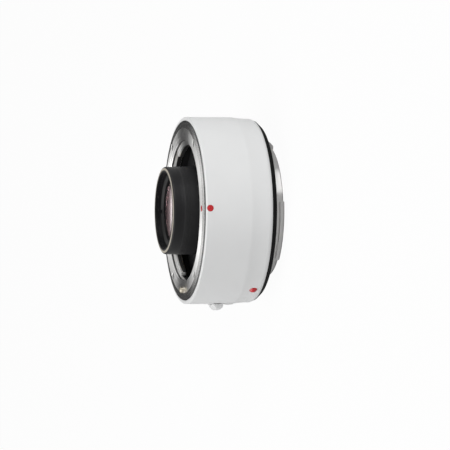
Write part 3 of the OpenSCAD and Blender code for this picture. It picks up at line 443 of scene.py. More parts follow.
def dress(piece, slot, body, *nodes):
    """Finish a piece: its material from a slot's finish, the body it rides on, and the nodes it stands in
    for, which it hides.
    """
    name_it(piece, nodes[0] + "_dressed")
    smooth(piece)
    piece.data.materials.clear()
    piece.data.materials.append(finish(slot))
    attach(piece, body)
    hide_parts(*nodes)
    return piece


# Finishes

def add(tree, kind, links=None, **settings):
    node = tree.nodes.new(kind)
    for key, value in settings.items():
        setattr(node, key, value)
    for socket, source in (links or {}).items():
        if isinstance(source, bpy.types.NodeSocket):
            tree.links.new(source, node.inputs[socket])
        else:
            node.inputs[socket].default_value = source
    return node


def shader_of(name, values):
    made = bpy.data.materials.new(name)
    made.use_nodes = True
    shader = made.node_tree.nodes["Principled BSDF"]
    for socket, value in values.items():
        shader.inputs[socket].default_value = value
    return made, made.node_tree, shader


def spread(tree, source, low, high):
    """A value between low and high that follows a noise."""
    ramp = add(tree, "ShaderNodeMapRange", {"Value": source, "From Min": 0.3, "From Max": 0.7})
    ramp.inputs["To Min"].default_value = low
    ramp.inputs["To Max"].default_value = high
    return ramp.outputs["Result"]


def shades(tree, source, dark, pale):
    ramp = add(tree, "ShaderNodeValToRGB", {"Fac": source})
    ramp.color_ramp.elements[0].position = 0.3
    ramp.color_ramp.elements[0].color = (*dark, 1)
    ramp.color_ramp.elements[1].position = 0.7
    ramp.color_ramp.elements[1].color = (*pale, 1)
    return ramp.outputs["Color"]


def ring_mask(tree, where, inner, outer, low, high):
    """1 between two radii and two heights, given in millimetres, and 0 elsewhere."""
    flat = add(tree, "ShaderNodeVectorMath", {0: where, 1: (1, 1, 0)}, operation="MULTIPLY")
    out = add(tree, "ShaderNodeVectorMath", {0: flat.outputs["Vector"]}, operation="LENGTH").outputs["Value"]
    up = add(tree, "ShaderNodeSeparateXYZ", {0: where}).outputs["Z"]
    inside = []
    for value, start, end in ((out, inner, outer), (up, low, high)):
        reach = {0: value, 1: (start + end) / 2 * MM, 2: (end - start) / 2 * MM}
        inside.append(add(tree, "ShaderNodeMath", reach, operation="COMPARE").outputs[0])
    return add(tree, "ShaderNodeMath", {0: inside[0], 1: inside[1]}, operation="MULTIPLY").outputs[0]


def overlay(tree, where, base, rings):
    """A colour with other tints laid over it on rings round the axis."""
    for tint, *reach in rings:
        mask = ring_mask(tree, where, *reach)
        base = add(tree, "ShaderNodeMix", {0: mask, 6: base, 7: (*tint, 1)}, data_type="RGBA").outputs[2]
    return base


def grained(name, tint, vary, rough, patch, grain, depth, rings=(), **values):
    """A finish that drifts over patches, with a fine grain in its skin. Scales are per metre."""
    made, tree, shader = shader_of(name, values)
    where = add(tree, "ShaderNodeTexCoord").outputs["Object"]
    drift = add(tree, "ShaderNodeTexNoise", {"Vector": where, "Scale": patch, "Detail": 5.0}).outputs["Fac"]
    fine = add(tree, "ShaderNodeTexNoise", {"Vector": where, "Scale": grain, "Detail": 3.0}).outputs["Fac"]
    dark = [c * (1 - vary) for c in tint]
    pale = [min(1, c * (1 + vary)) for c in tint]
    tree.links.new(overlay(tree, where, shades(tree, drift, dark, pale), rings), shader.inputs["Base Color"])
    tree.links.new(spread(tree, fine, *rough), shader.inputs["Roughness"])
    bump = add(tree, "ShaderNodeBump", {"Height": fine, "Strength": 1.0, "Distance": depth * MM})
    tree.links.new(bump.outputs["Normal"], shader.inputs["Normal"])
    return made


def turned(name, tint, rough, pitch, depth, marks, polish, **values):
    """Metal turned on a lathe: fine rings round the axis, with gloss drawn out across them."""
    made, tree, shader = shader_of(name, {"Metallic": 1.0, **values})
    where = add(tree, "ShaderNodeTexCoord").outputs["Object"]
    flat = add(tree, "ShaderNodeVectorMath", {0: where, 1: (1, 1, 0)}, operation="MULTIPLY")
    out = add(tree, "ShaderNodeVectorMath", {0: flat.outputs["Vector"]}, operation="LENGTH").outputs["Value"]
    rings = add(
        tree, "ShaderNodeTexNoise", {"W": out, "Scale": pitch, "Detail": 4.0}, noise_dimensions="1D"
    ).outputs["Fac"]
    drift = add(tree, "ShaderNodeTexNoise", {"Vector": where, "Scale": 160.0, "Detail": 4.0}).outputs["Fac"]
    dark = [c * 0.93 for c in tint]
    tree.links.new(overlay(tree, where, shades(tree, drift, dark, tint), marks), shader.inputs["Base Color"])
    gloss = spread(tree, rings, *rough)
    for value, *reach in polish:
        gloss = add(tree, "ShaderNodeMix", {0: ring_mask(tree, where, *reach), 2: gloss, 3: value}).outputs[0]
    tree.links.new(gloss, shader.inputs["Roughness"])
    bump = add(tree, "ShaderNodeBump", {"Height": rings, "Strength": 1.0, "Distance": depth * MM})
    tree.links.new(bump.outputs["Normal"], shader.inputs["Normal"])
    tangent = add(tree, "ShaderNodeTangent", direction_type="RADIAL", axis="Z")
    tree.links.new(tangent.outputs["Tangent"], shader.inputs["Tangent"])
    return made


def white_paint(name, tints):
    return grained(
        name, tints.paint, 0.012, (0.4, 0.46), 60, 2600, 0.004,
        **{"Specular IOR Level": 0.22},
    )


def red_mark(name, tints):
    return grained(name, tints.mark, 0.05, (0.24, 0.32), 700, 2400, 0.003, **{"Coat Weight": 0.2})


def mount_chrome(name, tints):
    """Bright turned metal with painted shade on its outer edge, down its throat wall and under the tabs,
    polished on the outer band, warmer on the pin.
    """
    marks = (
        # painted shade: the mount's outer edge and wall darkened where it meets the barrel's rim
        ((0.12, 0.12, 0.12), EDGE_FROM, 36, 20, 28),
        # painted shade: the throat wall darkened, and near black lower down where shade falls
        ((0.1, 0.1, 0.1), 26.9, 27.07, 26.1, 26.88),
        ((0.02, 0.02, 0.02), 26.9, 27.07, 23, 25.1),
        # painted shade: the lower part of the tabs' inner edge darkened
        ((0.06, 0.06, 0.06), 25, 25.5, 23, 25.1),
        ((0.36, 0.33, 0.27), 28, 33, 27.23, 30),
    )
    return turned(
        name, tints.chrome, (0.31, 0.37), 5200, 0.0006, marks, ((0.14, POLISHED_FROM, EDGE_FROM, 26.4, 28),),
        **{"Anisotropic": 0.96, "Anisotropic Rotation": 0.25},
    )


def screw_steel(name, tints):
    return grained(name, (0.5, 0.5, 0.49), 0.06, (0.24, 0.36), 900, 5200, 0.002, **{"Metallic": 1.0})


def spring_steel(name, tints):
    return grained(name, (0.56, 0.55, 0.53), 0.06, (0.2, 0.32), 900, 6200, 0.001, **{"Metallic": 1.0})


def black_anodised(name, tints):
    """Black anodising with a painted highlight along the crest of the nose's rim, a little lighter at its
    root, and painted shade on the retainer in the recess.
    """
    highlight_tint_and_shade = (
        # painted highlight: a pale band along the crest of the nose's rounded rim
        ((0.42, 0.385, 0.32), 15.5, 16.3, 34.45, 36),
        # a little lighter at the nose's root
        ((0.024, 0.024, 0.025), 16, 17.2, 24, 30.5),
        # painted shade: the retainer darkened deep in the nose's recess
        ((0.003, 0.003, 0.003), 12, 14.88, 31.5, 32.75),
    )
    return grained(
        name, tints.black, 0.15, (0.38, 0.48), 220, 5200, 0.002, highlight_tint_and_shade, **{"Specular IOR Level": 0.2}
    )


def cast_frame(name, tints):
    return grained(name, (0.16, 0.16, 0.165), 0.1, (0.5, 0.64), 300, 3200, 0.02, **{"Metallic": 0.85})


def black_plastic(name, tints):
    return grained(
        name, (0.01, 0.01, 0.0105), 0.12, (0.5, 0.62), 260, 3600, 0.006, **{"Specular IOR Level": 0.16}
    )


def seal_rubber(name, tints):
    return grained(name, tints.rubber, 0.15, (0.66, 0.8), 260, 3000, 0.008, **{"Specular IOR Level": 0.12})


def contact_gold(name, tints):
    return grained(name, tints.gold, 0.05, (0.16, 0.26), 900, 6000, 0.001, **{"Metallic": 1.0})


def board_green(name, tints):
    return grained(name, (0.012, 0.09, 0.035), 0.3, (0.34, 0.46), 480, 3000, 0.004)


def flex_amber(name, tints):
    return grained(name, (0.52, 0.2, 0.03), 0.12, (0.26, 0.38), 420, 3000, 0.002, **{"Coat Weight": 0.2})


def coated_glass(name, tints):
    """Clear glass with a lilac coating, a blackened edge and a faint drifting haze."""
    made, tree, shader = shader_of(name, {
        "Transmission Weight": 1.0, "IOR": 1.62, "Specular Tint": (*tints.coating, 1),
    })
    where = add(tree, "ShaderNodeTexCoord").outputs["Object"]
    edge = ((0.01, 0.01, 0.01), 13.1, 15, -20, 40)
    tree.links.new(overlay(tree, where, (0.94, 0.81, 0.82, 1), (edge,)), shader.inputs["Base Color"])
    haze = add(tree, "ShaderNodeTexNoise", {"Vector": where, "Scale": 140.0, "Detail": 3.0}).outputs["Fac"]
    tree.links.new(spread(tree, haze, 0.0, 0.02), shader.inputs["Roughness"])
    return made


MAKERS = (
    white_paint, red_mark, mount_chrome, screw_steel, spring_steel, black_anodised, cast_frame,
    black_plastic, seal_rubber, contact_gold, board_green, flex_amber, coated_glass,
)


def finish(slot):
    """The material of one slot, made when it is first asked for."""
    found = bpy.data.materials.get("finish_" + slot)
    if found:
        return found
    maker = {made.__name__: made for made in MAKERS}[slot]
    return maker("finish_" + slot, bpy.context.scene.converter_finishes)


# Pieces

class CONVERTER_OT_barrel(bpy.types.Operator):
    """Turn the white barrel, with its taper, lever slot, low ridge and seats for the dots"""
    bl_idname = "converter.barrel"
    bl_label = "Barrel"

    def execute(self, context):
        b = sizes(context, "barrel")
        m = sizes(context, "mounts")
        full = math.acos(1 - (b.rear_radius - b.end_radius) / b.rear_round)
        middle = (b.rear_radius - b.rear_round, b.rear + b.rear_round * math.sin(full))
        rear = arc(middle, b.rear_round, -b.rear_round, full, 0)
        taper = []
        for i in range(9):
            along = i / 8
            taper.append((
                b.rear_radius + (b.radius - b.rear_radius) * along ** 2,
                b.taper_low + (b.taper_high - b.taper_low) * along,
            ))
        hold = (b.rear_radius, rear[-1][1] + 0.3)
        lip, lip_low = m.radius - 1.5, m.seat - 0.8
        shell = [(b.bore, b.rear)] + rear + [hold] + taper + [
            (b.radius, b.taper_high + 0.4),
            (b.radius, b.rim - b.rim_bevel, 0.3),
            (b.radius - b.rim_bevel, b.rim, 0.12),
            (m.radius + SEAM, b.rim),
            (m.radius + SEAM, m.seat),
            (lip, m.seat),
            (lip, lip_low),
            (b.bore, lip_low),
        ]
        barrel = lathe("barrel", outline(shell))
        half = b.ridge_length / 2
        middle = (b.radius, b.ridge_top - half)
        crest = arc(middle, b.ridge_height, half, math.pi / 2, -math.pi / 2, 12)
        low = b.radius - SLIVER
        ridge = [(low, b.ridge_top)] + crest + [(low, b.ridge_top - b.ridge_length)]
        bead = at_clock(lathe("ridge", ridge, 14, 24), LEVER_AT)
        combine(barrel, bead, "UNION")
        half = b.slot_width / 2
        slot = block("slot", (b.bore - 2, -half, b.slot_low), (b.radius + 2, half, b.slot_high))
        combine(barrel, at_clock(round_edges(slot, 0.35), LEVER_AT))
        seats = (
            (0, b.radius - DOT_DEEP, b.dot_height, b.dot_radius),
            (REAR_DOT_AT, b.rear_radius - REAR_DOT_DEEP, b.rear_dot_height, b.rear_dot_radius),
        )
        for angle, out, height, radius in seats:
            hole = rod("seat", radius + SLIP, 0, 3)
            combine(barrel, at_clock(hole, angle, out, height, "out"))
        dress(barrel, "white_paint", "housing", "barrel")
        return {"FINISHED"}


class CONVERTER_OT_index_dots(bpy.types.Operator):
    """Make the flush red dot, the raised red dot and the small red dot of the front mount"""
    bl_idname = "converter.index_dots"
    bl_label = "Index Dots"

    def execute(self, context):
        b = sizes(context, "barrel")
        m = sizes(context, "mounts")
        level = [(0, 0), (b.dot_radius, 0), (b.dot_radius, DOT_DEEP - 0.015, 0.05), (0, DOT_DEEP)]
        flush = lathe("front_index_dot", outline(level, False), 360, SMALL_STEPS)
        at_clock(flush, 0, b.radius - DOT_DEEP, b.dot_height, "out")
        dress(flush, "red_mark", "housing", "front_index_dot")
        crown = b.rear_dot_crown
        ball = (b.rear_dot_radius ** 2 + crown ** 2) / (2 * crown)
        full = math.asin(b.rear_dot_radius / ball)
        middle = (0, REAR_DOT_DEEP + crown - ball)
        cap = arc(middle, ball, ball, math.pi / 2 - full, math.pi / 2, 10)
        raised = lathe("rear_index_dot", [(0, 0), (b.rear_dot_radius, 0)] + cap, 360, SMALL_STEPS)
        at_clock(raised, REAR_DOT_AT, b.rear_radius - REAR_DOT_DEEP, b.rear_dot_height, "out")
        dress(raised, "red_mark", "housing", "rear_index_dot")
        wide = b.flange_dot_radius
        small = [(0, 0), (wide, 0), (wide, DOT_DEEP - 0.02, 0.05), (0, DOT_DEEP)]
        dot = lathe("flange_index_dot", outline(small, False), 360, SMALL_STEPS)
        at_clock(dot, 0, b.flange_dot_at, m.flange - DOT_DEEP)
        dress(dot, "red_mark", "housing", "flange_index_dot")
        return {"FINISHED"}


def sunk_hole(m, sides=SMALL_STEPS):
    """A cutter for a countersunk screw, with its mouth at no height."""
    wide, narrow = m.head + SLIP, m.shaft + SLIP
    return lathe("hole", [
        (0, SLIVER), (wide + SLIVER, SLIVER), (narrow, m.shaft - m.head), (narrow, -m.screw_length - 1),
        (0, -m.screw_length - 1),
    ], 360, sides)


def cross_cutter(reach, width, depth):
    """A cutter for the cross in a screw head, narrower at its floor."""
    arms = None
    for turn in (0, 90):
        half = width / 2
        shape = [(-half, 0.2), (half, 0.2), (half * 0.7, -depth), (-half * 0.7, -depth)]
        arm = prism("arm", shape, 2 * reach)
        arm.matrix_world = (
            Matrix.Rotation(math.radians(turn), 4, "Z")
            @ Matrix.Translation((0, reach * MM, 0)) @ Matrix.Rotation(math.pi / 2, 4, "X")
        )
        settle(arm)
        arms = combine(arms, arm, "UNION") if arms else arm
    return arms


def sunk_screw(m):
    """A countersunk screw with a cross, its head at no height."""
    shape = outline([
        (0, 0), (m.head, 0, 0.07), (m.shaft, m.shaft - m.head, 0.1), (m.shaft, -m.screw_length, 0.15),
        (0, -m.screw_length),
    ], False)
    screw = lathe("screw", shape, 360, SMALL_STEPS)
    return combine(screw, cross_cutter(m.head * 0.55, 0.38, 0.4))


def pan_screw(shank):
    """A small pan screw with a cross, its head's top at no height."""
    shape = outline([
        (0, 0), (PAN_HEAD, 0, 0.16), (PAN_HEAD, -0.6, 0.05), (PAN_SHAFT, -0.6), (PAN_SHAFT, -shank, 0.1),
        (0, -shank),
    ], False)
    screw = lathe("screw", shape, 360, SMALL_STEPS)
    return combine(screw, cross_cutter(0.55, 0.34, 0.32))


def pan_hole(sunk, deep):
    """A cutter for a pan screw whose head is sunk, with its mouth at no height."""
    wide, narrow = PAN_HEAD + SLIP, PAN_SHAFT + SLIP
    return lathe("hole", [
        (0, 1), (wide, 1), (wide, -sunk), (narrow, -sunk), (narrow, -deep), (0, -deep),
    ], 360, 32)


def places(angles, out, height, facing="up"):
    return [{"angle": a, "out": out, "height": height, "facing": facing} for a in angles]


class CONVERTER_OT_front_mount(bpy.types.Operator):
    """Turn the bright female bayonet ring with its three tabs, sunk holes and lock hole"""
    bl_idname = "converter.front_mount"
    bl_label = "Front Mount"

    def execute(self, context):
        m = sizes(context, "mounts")
        b = sizes(context, "barrel")
        r = sizes(context, "release")
        step, fall, edge = 0.08, 0.24, 0.36
        band = m.throat + 1.85
        shape = [
            (m.throat, m.hub_low), (m.hub, m.hub_low), (m.hub, m.seat), (m.radius, m.seat),
            (m.radius, m.flange - edge, 0.05), (m.radius - 0.12, m.flange - fall, 0.03),
            (POLISHED_FROM, m.flange, 0.5),
            (band, m.flange), (band - step, m.flange - step),
            (m.throat + 0.25, m.flange - step, 0.04), (m.throat, m.flange - step - 0.25, 0.04),
        ]
        ring = lathe("front_mount", outline(shape), 360, 256)
        for angle, span in TABS:
            low = m.hub_low + SLIP
            back = m.throat + 0.55
            tab = round_edges(sector("tab", m.tab, back, low, m.tab_high, span, 40), 0.12, 2)
            combine(ring, at_clock(tab, angle), "UNION")
        hole = sunk_hole(m)
        holes = row(hole, "holes", places(FRONT_SCREWS_AT, m.screw_at, m.flange))
        combine(ring, holes)
        bore = rod("bore", r.pin + 0.08, 20, 30)
        combine(ring, at_clock(bore, LEVER_AT, r.pin_at))
        seat = rod("seat", b.flange_dot_radius + SLIP, 0, 2)
        combine(ring, at_clock(seat, 0, b.flange_dot_at, m.flange - DOT_DEEP))
        dress(ring, "mount_chrome", "housing", "front_mount")
        return {"FINISHED"}


class CONVERTER_OT_mount_screws(bpy.types.Operator):
    """Make one countersunk screw and set its copies in the front and the rear mount"""
    bl_idname = "converter.mount_screws"
    bl_label = "Mount Screws"

    def execute(self, context):
        m = sizes(context, "mounts")
        screw = sunk_screw(m)
        spare = twin(screw, "spare")
        front = row(screw, "front_mount_screws", places(FRONT_SCREWS_AT, m.screw_at, m.flange - SLIP))
        dress(front, "screw_steel", "housing", "front_mount_screws")
        rear = row(spare, "rear_mount_screws", places(REAR_SCREWS_AT, m.rear_screw_at, SLIP, "down"))
        dress(rear, "screw_steel", "housing", "rear_mount_screws")
        return {"FINISHED"}


class CONVERTER_OT_lens_tube(bpy.types.Operator):
    """Turn the black nose with its grooves and threaded recess, and the tube behind it"""
    bl_idname = "converter.lens_tube"
    bl_label = "Nose and Tube"

    def execute(self, context):
        n = sizes(context, "lens")
        stop, collar, collar_low, collar_high = 11.8, 19.6, 17.6, 19.2
        shape = [
            (stop, n.tube_rear), (n.tube, n.tube_rear, 0.2), (n.tube, collar_low), (collar, collar_low),
            (collar, collar_high, 0.15), (n.root, collar_high),
        ]
        pitch, width, depth = 0.55, 0.2, 0.12
        for i in reversed(range(1, n.grooves + 1)):
            low = n.root_top - i * pitch - width
            shape += [
                (n.root, low), (n.root - depth, low + 0.03), (n.root - depth, low + width - 0.03),
                (n.root, low + width),
            ]
        shape += [
            (n.root, n.root_top - 0.1, 0.5), (n.nose, n.root_top + 1.1, 0.5), (n.nose, n.rim - 1.1),
        ]
        shape += arc((n.nose - 1.1, n.rim - 0.8), 1.1, 0.8, 0, math.pi / 2)
        shape += [(n.nose - 1.2, n.rim), (n.recess, n.rim, 0.1)]
        for i in range(5):
            top = n.rim - 0.35 - i * 0.3
            deep = n.recess + 0.14
            shape += [(n.recess, top), (deep, top - 0.08), (deep, top - 0.14), (n.recess, top - 0.22)]
        shape += [(n.recess, n.seat), (n.bore, n.seat), (n.bore, n.tube_rear + 1), (stop, n.tube_rear + 1)]
        tube = lathe("lens_tube", outline(shape))
        hole = pan_hole(0.6, 3)
        combine(tube, row(hole, "holes", places(TUBE_SCREWS_AT, 18.1, collar_high)))
        dress(tube, "black_anodised", "housing", "lens_tube")
        lip, mouth, wall = 12.6, 13.7, n.recess - SLIP
        low, high = 31.21, 32.71
        keeper = outline([
            (lip, low), (wall, low), (wall, high), (mouth, high, 0.06), (lip, high - 0.75, 0.06),
        ])
        ring = lathe("front_retainer", keeper)
        for angle in (0, 180):
            slot = block("slot", (12, -0.6, high - 0.5), (15, 0.6, 34))
            combine(ring, at_clock(slot, angle))
        dress(ring, "black_anodised", "housing", "front_retainer")
        return {"FINISHED"}


GLASS = (
    (1, 48, -60), (2, -60, 40), (3, -70, 34), (4, 34, -34), (5, -34, 80), (6, 40, -40), (7, -40, 150),
)


def dip(curve, out):
    return abs(curve) - math.sqrt(curve * curve - out * out)


class CONVERTER_OT_glass(bpy.types.Operator):
    """Grind the seven glass elements, each between its own front and rear curve"""
    bl_idname = "converter.glass"
    bl_label = "Glass"

    def execute(self, context):
        for number, front, rear in GLASS:
            node = f"element_{number}"
            low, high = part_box(node)
            out = high.x / MM
            top = high.z / MM - (dip(front, out) if front > 0 else 0)
            foot = low.z / MM + (dip(rear, out) if rear < 0 else 0)
            shape = []
            steps = 12
            for i in range(steps + 1):
                x = out * i / steps
                shape.append((x, foot + math.copysign(dip(rear, out) - dip(rear, x), rear)))
            shape[-1] = (out - 0.12, shape[-1][1])
            shape += [(out, foot + 0.12), (out, top - 0.12)]
            for i in reversed(range(steps + 1)):
                x = out * i / steps
                shape.append((x, top + math.copysign(dip(front, out) - dip(front, x), front)))
            shape[2 * steps + 3 - steps] = (out - 0.12, top)
            piece = lathe(node, shape, 360, 128)
            dress(piece, "coated_glass", "housing", node)
        return {"FINISHED"}


class CONVERTER_OT_front_baffle(bpy.types.Operator):
    """Turn the ribbed black dish round the nose, cut out for the contact block"""
    bl_idname = "converter.front_baffle"
    bl_label = "Front Baffle"

    def execute(self, context):
        n = sizes(context, "lens")
        c = sizes(context, "contacts")
        inner, wall, outer = n.root + 0.3, 27.4, 28.1
        base, level, rim = 19.4, 20.4, 23.1
        shape = [(inner, base), (outer, base), (outer, rim), (wall, rim, 0.1), (wall, level)]
        out, pitch, deep = 26.8, 1.2, 20.15
        while out - 0.5 > inner + 0.4:
            shape += [(out, level), (out - 0.1, deep), (out - 0.5, deep), (out - 0.6, level)]
            out -= pitch
        shape.append((inner, level))
        dish = lathe("front_baffle", outline(shape))
        gap = sector("gap", c.inner - SLIP, c.outer + SLIP, 18, 22, 66.4)
        combine(dish, at_clock(gap, CONTACT_AT))
        dress(dish, "black_plastic", "housing", "front_baffle")
        return {"FINISHED"}


class CONVERTER_OT_front_contacts(bpy.types.Operator):
    """Make the front contact block, its two screws and its eight gold pins"""
    bl_idname = "converter.front_contacts"
    bl_label = "Front Contacts"

    def execute(self, context):
        c = sizes(context, "contacts")
        body = sector("front_contact_block", c.inner, c.outer, c.low, c.high, 66)
        round_edges(body, 0.18, 3, 40)
        at_clock(body, CONTACT_AT)
        neck, wide = c.pin + 0.08, c.collar + 0.08
        well = lathe("well", [
            (0, c.low - 1), (wide, c.low - 1), (wide, COLLAR_HIGH), (neck, COLLAR_HIGH),
            (neck, c.high - 0.15), (neck + 0.25, c.high + 0.1), (0, c.high + 0.1),
        ], 360, 32)
        combine(body, row(well, "wells", places([a for _, a in CONTACTS], c.ring, 0)))
        hole = pan_hole(1.2, 5)
        combine(body, row(hole, "holes", places(BLOCK_SCREWS_AT, c.ring, c.high)))
        dress(body, "black_plastic", "housing", "front_contact_block")
        screws = row(pan_screw(4.9), "front_contact_screws", places(BLOCK_SCREWS_AT, c.ring, c.high - 0.6))
        dress(screws, "screw_steel", "housing", "front_contact_screws")
        tip = outline([
            (0, COLLAR_LOW), (c.collar, COLLAR_LOW, 0.08), (c.collar, COLLAR_HIGH, 0.08),
            (c.pin, COLLAR_HIGH),
        ], False)
        tip += arc((0, c.tip - c.pin), c.pin, c.pin, 0, math.pi / 2)
        pin = lathe("pin", tip, 360, 32)
        for number, angle in CONTACTS:
            node = f"contact_pin_{number}"
            piece = at_clock(twin(pin, node), angle, c.ring)
            dress(piece, "contact_gold", f"contact_{number}", node)
        remove(pin)
        return {"FINISHED"}


class CONVERTER_OT_rear_mount(bpy.types.Operator):
    """Turn the bright male bayonet with its three tabs, ledge, lugs, sunk holes and lock slot"""
    bl_idname = "converter.rear_mount"
    bl_label = "Rear Mount"

    def execute(self, context):
        m = sizes(context, "mounts")
        r = sizes(context, "release")
        c = sizes(context, "contacts")
        shape = [
            (m.ledge, 0.2), (m.spigot, 0.2), (m.spigot, m.spigot_end, 0.1),
            (m.neck - 0.4, m.spigot_end, 0.08), (m.neck, m.spigot_end + 0.4, 0.08), (m.neck, 0, 0.1),
            (m.rear_radius - 0.2, 0, 0.06), (m.rear_radius, 0.2, 0.06), (m.rear_radius, m.rear_flange),
            (m.ledge, m.rear_flange),
        ]
        ring = lathe("rear_mount", outline(shape), 360, 256)
        for angle, span in TABS:
            back = m.spigot + 0.6
            shape = outline([
                (back, m.spigot_end), (m.rear_tab - 0.4, m.spigot_end, 0.08),
                (m.rear_tab, m.spigot_end + 0.4, 0.08), (m.rear_tab, m.rear_tab_high, 0.08),
                (back, m.rear_tab_high),
            ])
            tab = lathe("tab", shape, span, 40)
            combine(ring, at_clock(tab, angle), "UNION")
        lugs = [(a, c.ring) for a in BLOCK_SCREWS_AT] + [(a, BAFFLE_SCREWS_OUT) for a in BAFFLE_SCREWS_AT]
        for angle, out in lugs:
            lug = rod("lug", 1.4, 0.2, m.rear_flange, 32)
            combine(ring, at_clock(lug, angle, out), "UNION")
            hole = rod("hole", PAN_SHAFT + SLIP, -1, 3, 32)
            combine(ring, at_clock(hole, angle, out))
        combine(ring, row(sunk_hole(m), "holes", places(REAR_SCREWS_AT, m.rear_screw_at, 0, "down")))
        half, reach = 1.7, 0.6
        points = []
        for side in (1, -1):
            start = (side - 1) * math.pi / 2
            points += arc((0, side * reach), half, half, start, start + math.pi, 16)
        slot = at_clock(prism("slot", points, 6), LEVER_AT, r.pin_at, -2)
        combine(ring, slot)
        dress(ring, "mount_chrome", "housing", "rear_mount")
        return {"FINISHED"}


class CONVERTER_OT_rear_seal(bpy.types.Operator):
    """Turn the rubber skirt round the rear flange"""
    bl_idname = "converter.rear_seal"
    bl_label = "Rear Seal"

    def execute(self, context):
        b = sizes(context, "barrel")
        m = sizes(context, "mounts")
        inner, toe = m.rear_radius + SLIP, 33.3
        foot, top = -1.5, 1.8
        seal = lathe("rear_seal", outline([
            (inner, top), (b.bore - SLIP, top), (b.bore - SLIP, b.rear), (b.end_radius, b.rear),
            (b.end_radius, b.rear - 0.35, 0.12), (toe, foot, 0.2), (inner, foot, 0.15),
        ]))
        dress(seal, "seal_rubber", "housing", "rear_seal")
        return {"FINISHED"}


class CONVERTER_OT_rear_baffle(bpy.types.Operator):
    """Turn the stepped funnel inside the rear mount and set its two screws"""
    bl_idname = "converter.rear_baffle"
    bl_label = "Rear Baffle"

    def execute(self, context):
        m = sizes(context, "mounts")
        c = sizes(context, "contacts")
        wide, light, count = 19.3, 12.8, 5
        low, top = m.spigot_end + 0.5, -2.9
        shape = [(16.5, 0.2), (m.spigot - SLIP, 0.2), (m.spigot - SLIP, low, 0.12), (wide, low, 0.08)]
        for i in range(count):
            height = low + (i + 1) * (top - low) / count
            shape += [
                (wide - i * (wide - light) / count, height),
                (wide - (i + 1) * (wide - light) / count, height, 0.06),
            ]
        shape += [(light, -2.2), (16.5, -2.2)]
        funnel = lathe("rear_baffle", outline(shape))
        gap = sector("gap", c.rear_inner - SLIP, m.spigot + SLIVER, -8, 2, 66.2)
        combine(funnel, at_clock(gap, CONTACT_AT))
        hole = pan_hole(2, 8)
        combine(funnel, row(hole, "holes", places(BAFFLE_SCREWS_AT, BAFFLE_SCREWS_OUT, low, "down")))
        dress(funnel, "black_plastic", "housing", "rear_baffle")
        spots = places(BAFFLE_SCREWS_AT, BAFFLE_SCREWS_OUT, low + 1.4, "down")
        screws = row(pan_screw(5.2), "rear_baffle_screws", spots)
        dress(screws, "screw_steel", "housing", "rear_baffle_screws")
        return {"FINISHED"}


class CONVERTER_OT_rear_contacts(bpy.types.Operator):
    """Make the rear contact block, its eight gold pads and its two screws"""
    bl_idname = "converter.rear_contacts"
    bl_label = "Rear Contacts"

    def execute(self, context):
        m = sizes(context, "mounts")
        c = sizes(context, "contacts")
        body = sector("rear_contact_block", c.rear_inner, m.spigot - 2 * SLIP, c.rear_face, 0.2, 66)
        round_edges(body, 0.16, 3, 40)
        at_clock(body, CONTACT_AT)
        across, along = c.pad_width / 2, c.pad_length / 2
        pad = block("pad", (-along, -across, c.rear_face - 0.06), (along, across, c.rear_face + 0.5))
        round_edges(pad, 0.12, 3)
        wide = block(
            "recess", (-along - SLIP, -across - SLIP, c.rear_face - 1),
            (along + SLIP, across + SLIP, c.rear_face + 0.5),
        )
        spots = places([a for _, a in CONTACTS], c.ring, 0)
        combine(body, row(wide, "recesses", spots))
        hole = pan_hole(1.2, 8)
        combine(body, row(hole, "holes", places(BLOCK_SCREWS_AT, c.ring, c.rear_face, "down")))
        dress(body, "black_plastic", "housing", "rear_contact_block")
        dress(row(pad, "rear_contact_pads", spots), "contact_gold", "housing", "rear_contact_pads")
        screws = row(
            pan_screw(5.8), "rear_contact_screws", places(BLOCK_SCREWS_AT, c.ring, c.rear_face + 0.6, "down")
        )
        dress(screws, "screw_steel", "housing", "rear_contact_screws")
        return {"FINISHED"}


class CONVERTER_OT_release(bpy.types.Operator):
    """Shape the white release lever with its stem, and turn the locking pin that it draws back"""
    bl_idname = "converter.release"
    bl_label = "Release Lever and Pin"

    def execute(self, context):
        r = sizes(context, "release")
        b = sizes(context, "barrel")
        crest = r.front - r.lean
        back = r.length - r.lean - r.flat
        top = b.radius + r.height
        side = [(r.front, b.radius - SLIVER), (r.front, b.radius)]
        side += [(crest + r.lean * r.corner / r.height / 2, top - r.corner / 2), (crest - r.flat / 2, top)]
        side += arc((crest - r.flat, b.radius), back, r.height, math.pi / 2, math.pi, 10)
        side.append((r.front - r.length, b.radius - SLIVER))
        foot = prism("release_lever", [(out, height) for height, out in side], r.width + 4)
        aside = Matrix.Translation((0, (r.width / 2 + 2) * MM, 0))
        foot.matrix_world = aside @ Matrix.Rotation(math.pi / 2, 4, "X")
        settle(foot)
        half = r.width / 2 - r.corner
        end = [(0, -r.width / 2)]
        end += arc((top - r.corner, -half), r.corner, r.corner, -math.pi / 2, 0)
        end += arc((top - r.corner, half), r.corner, r.corner, 0, math.pi / 2)
        end.append((0, r.width / 2))
        combine(foot, prism("end", end, 40), "INTERSECT")
        under = rod("under", b.radius + 0.3, 0, 40, 256)
        combine(foot, under)
        round_edges(foot, 0.16, 3, 28)
        wide = r.stem_width / 2
        middle = r.front - r.length / 2
        stem = block("stem", (33.45, -wide, middle - 1.4), (b.radius + r.height / 2, wide, middle + 1.4))
        combine(foot, round_edges(stem, 0.2), "UNION")
        at_clock(foot, LEVER_AT)
        dress(foot, "white_paint", "release", "release_lever")
        foot, neck, crown = 15.05, 27.25, 28.7
        disc, disc_low, disc_high = 2.3, 17.3, 18.5
        pin = lathe("lock_pin", outline([
            (0, foot), (r.pin, foot, 0.15), (r.pin, disc_low), (disc, disc_low, 0.1),
            (disc, disc_high, 0.1), (r.pin, disc_high), (r.pin, neck, 0.08), (r.tip, neck),
            (r.tip, crown - 0.4, 0.1), (r.tip - 0.4, crown, 0.15), (0, crown),
        ], False), 360, 64)
        at_clock(pin, LEVER_AT, r.pin_at)
        dress(pin, "mount_chrome", "release", "lock_pin")
        return {"FINISHED"}


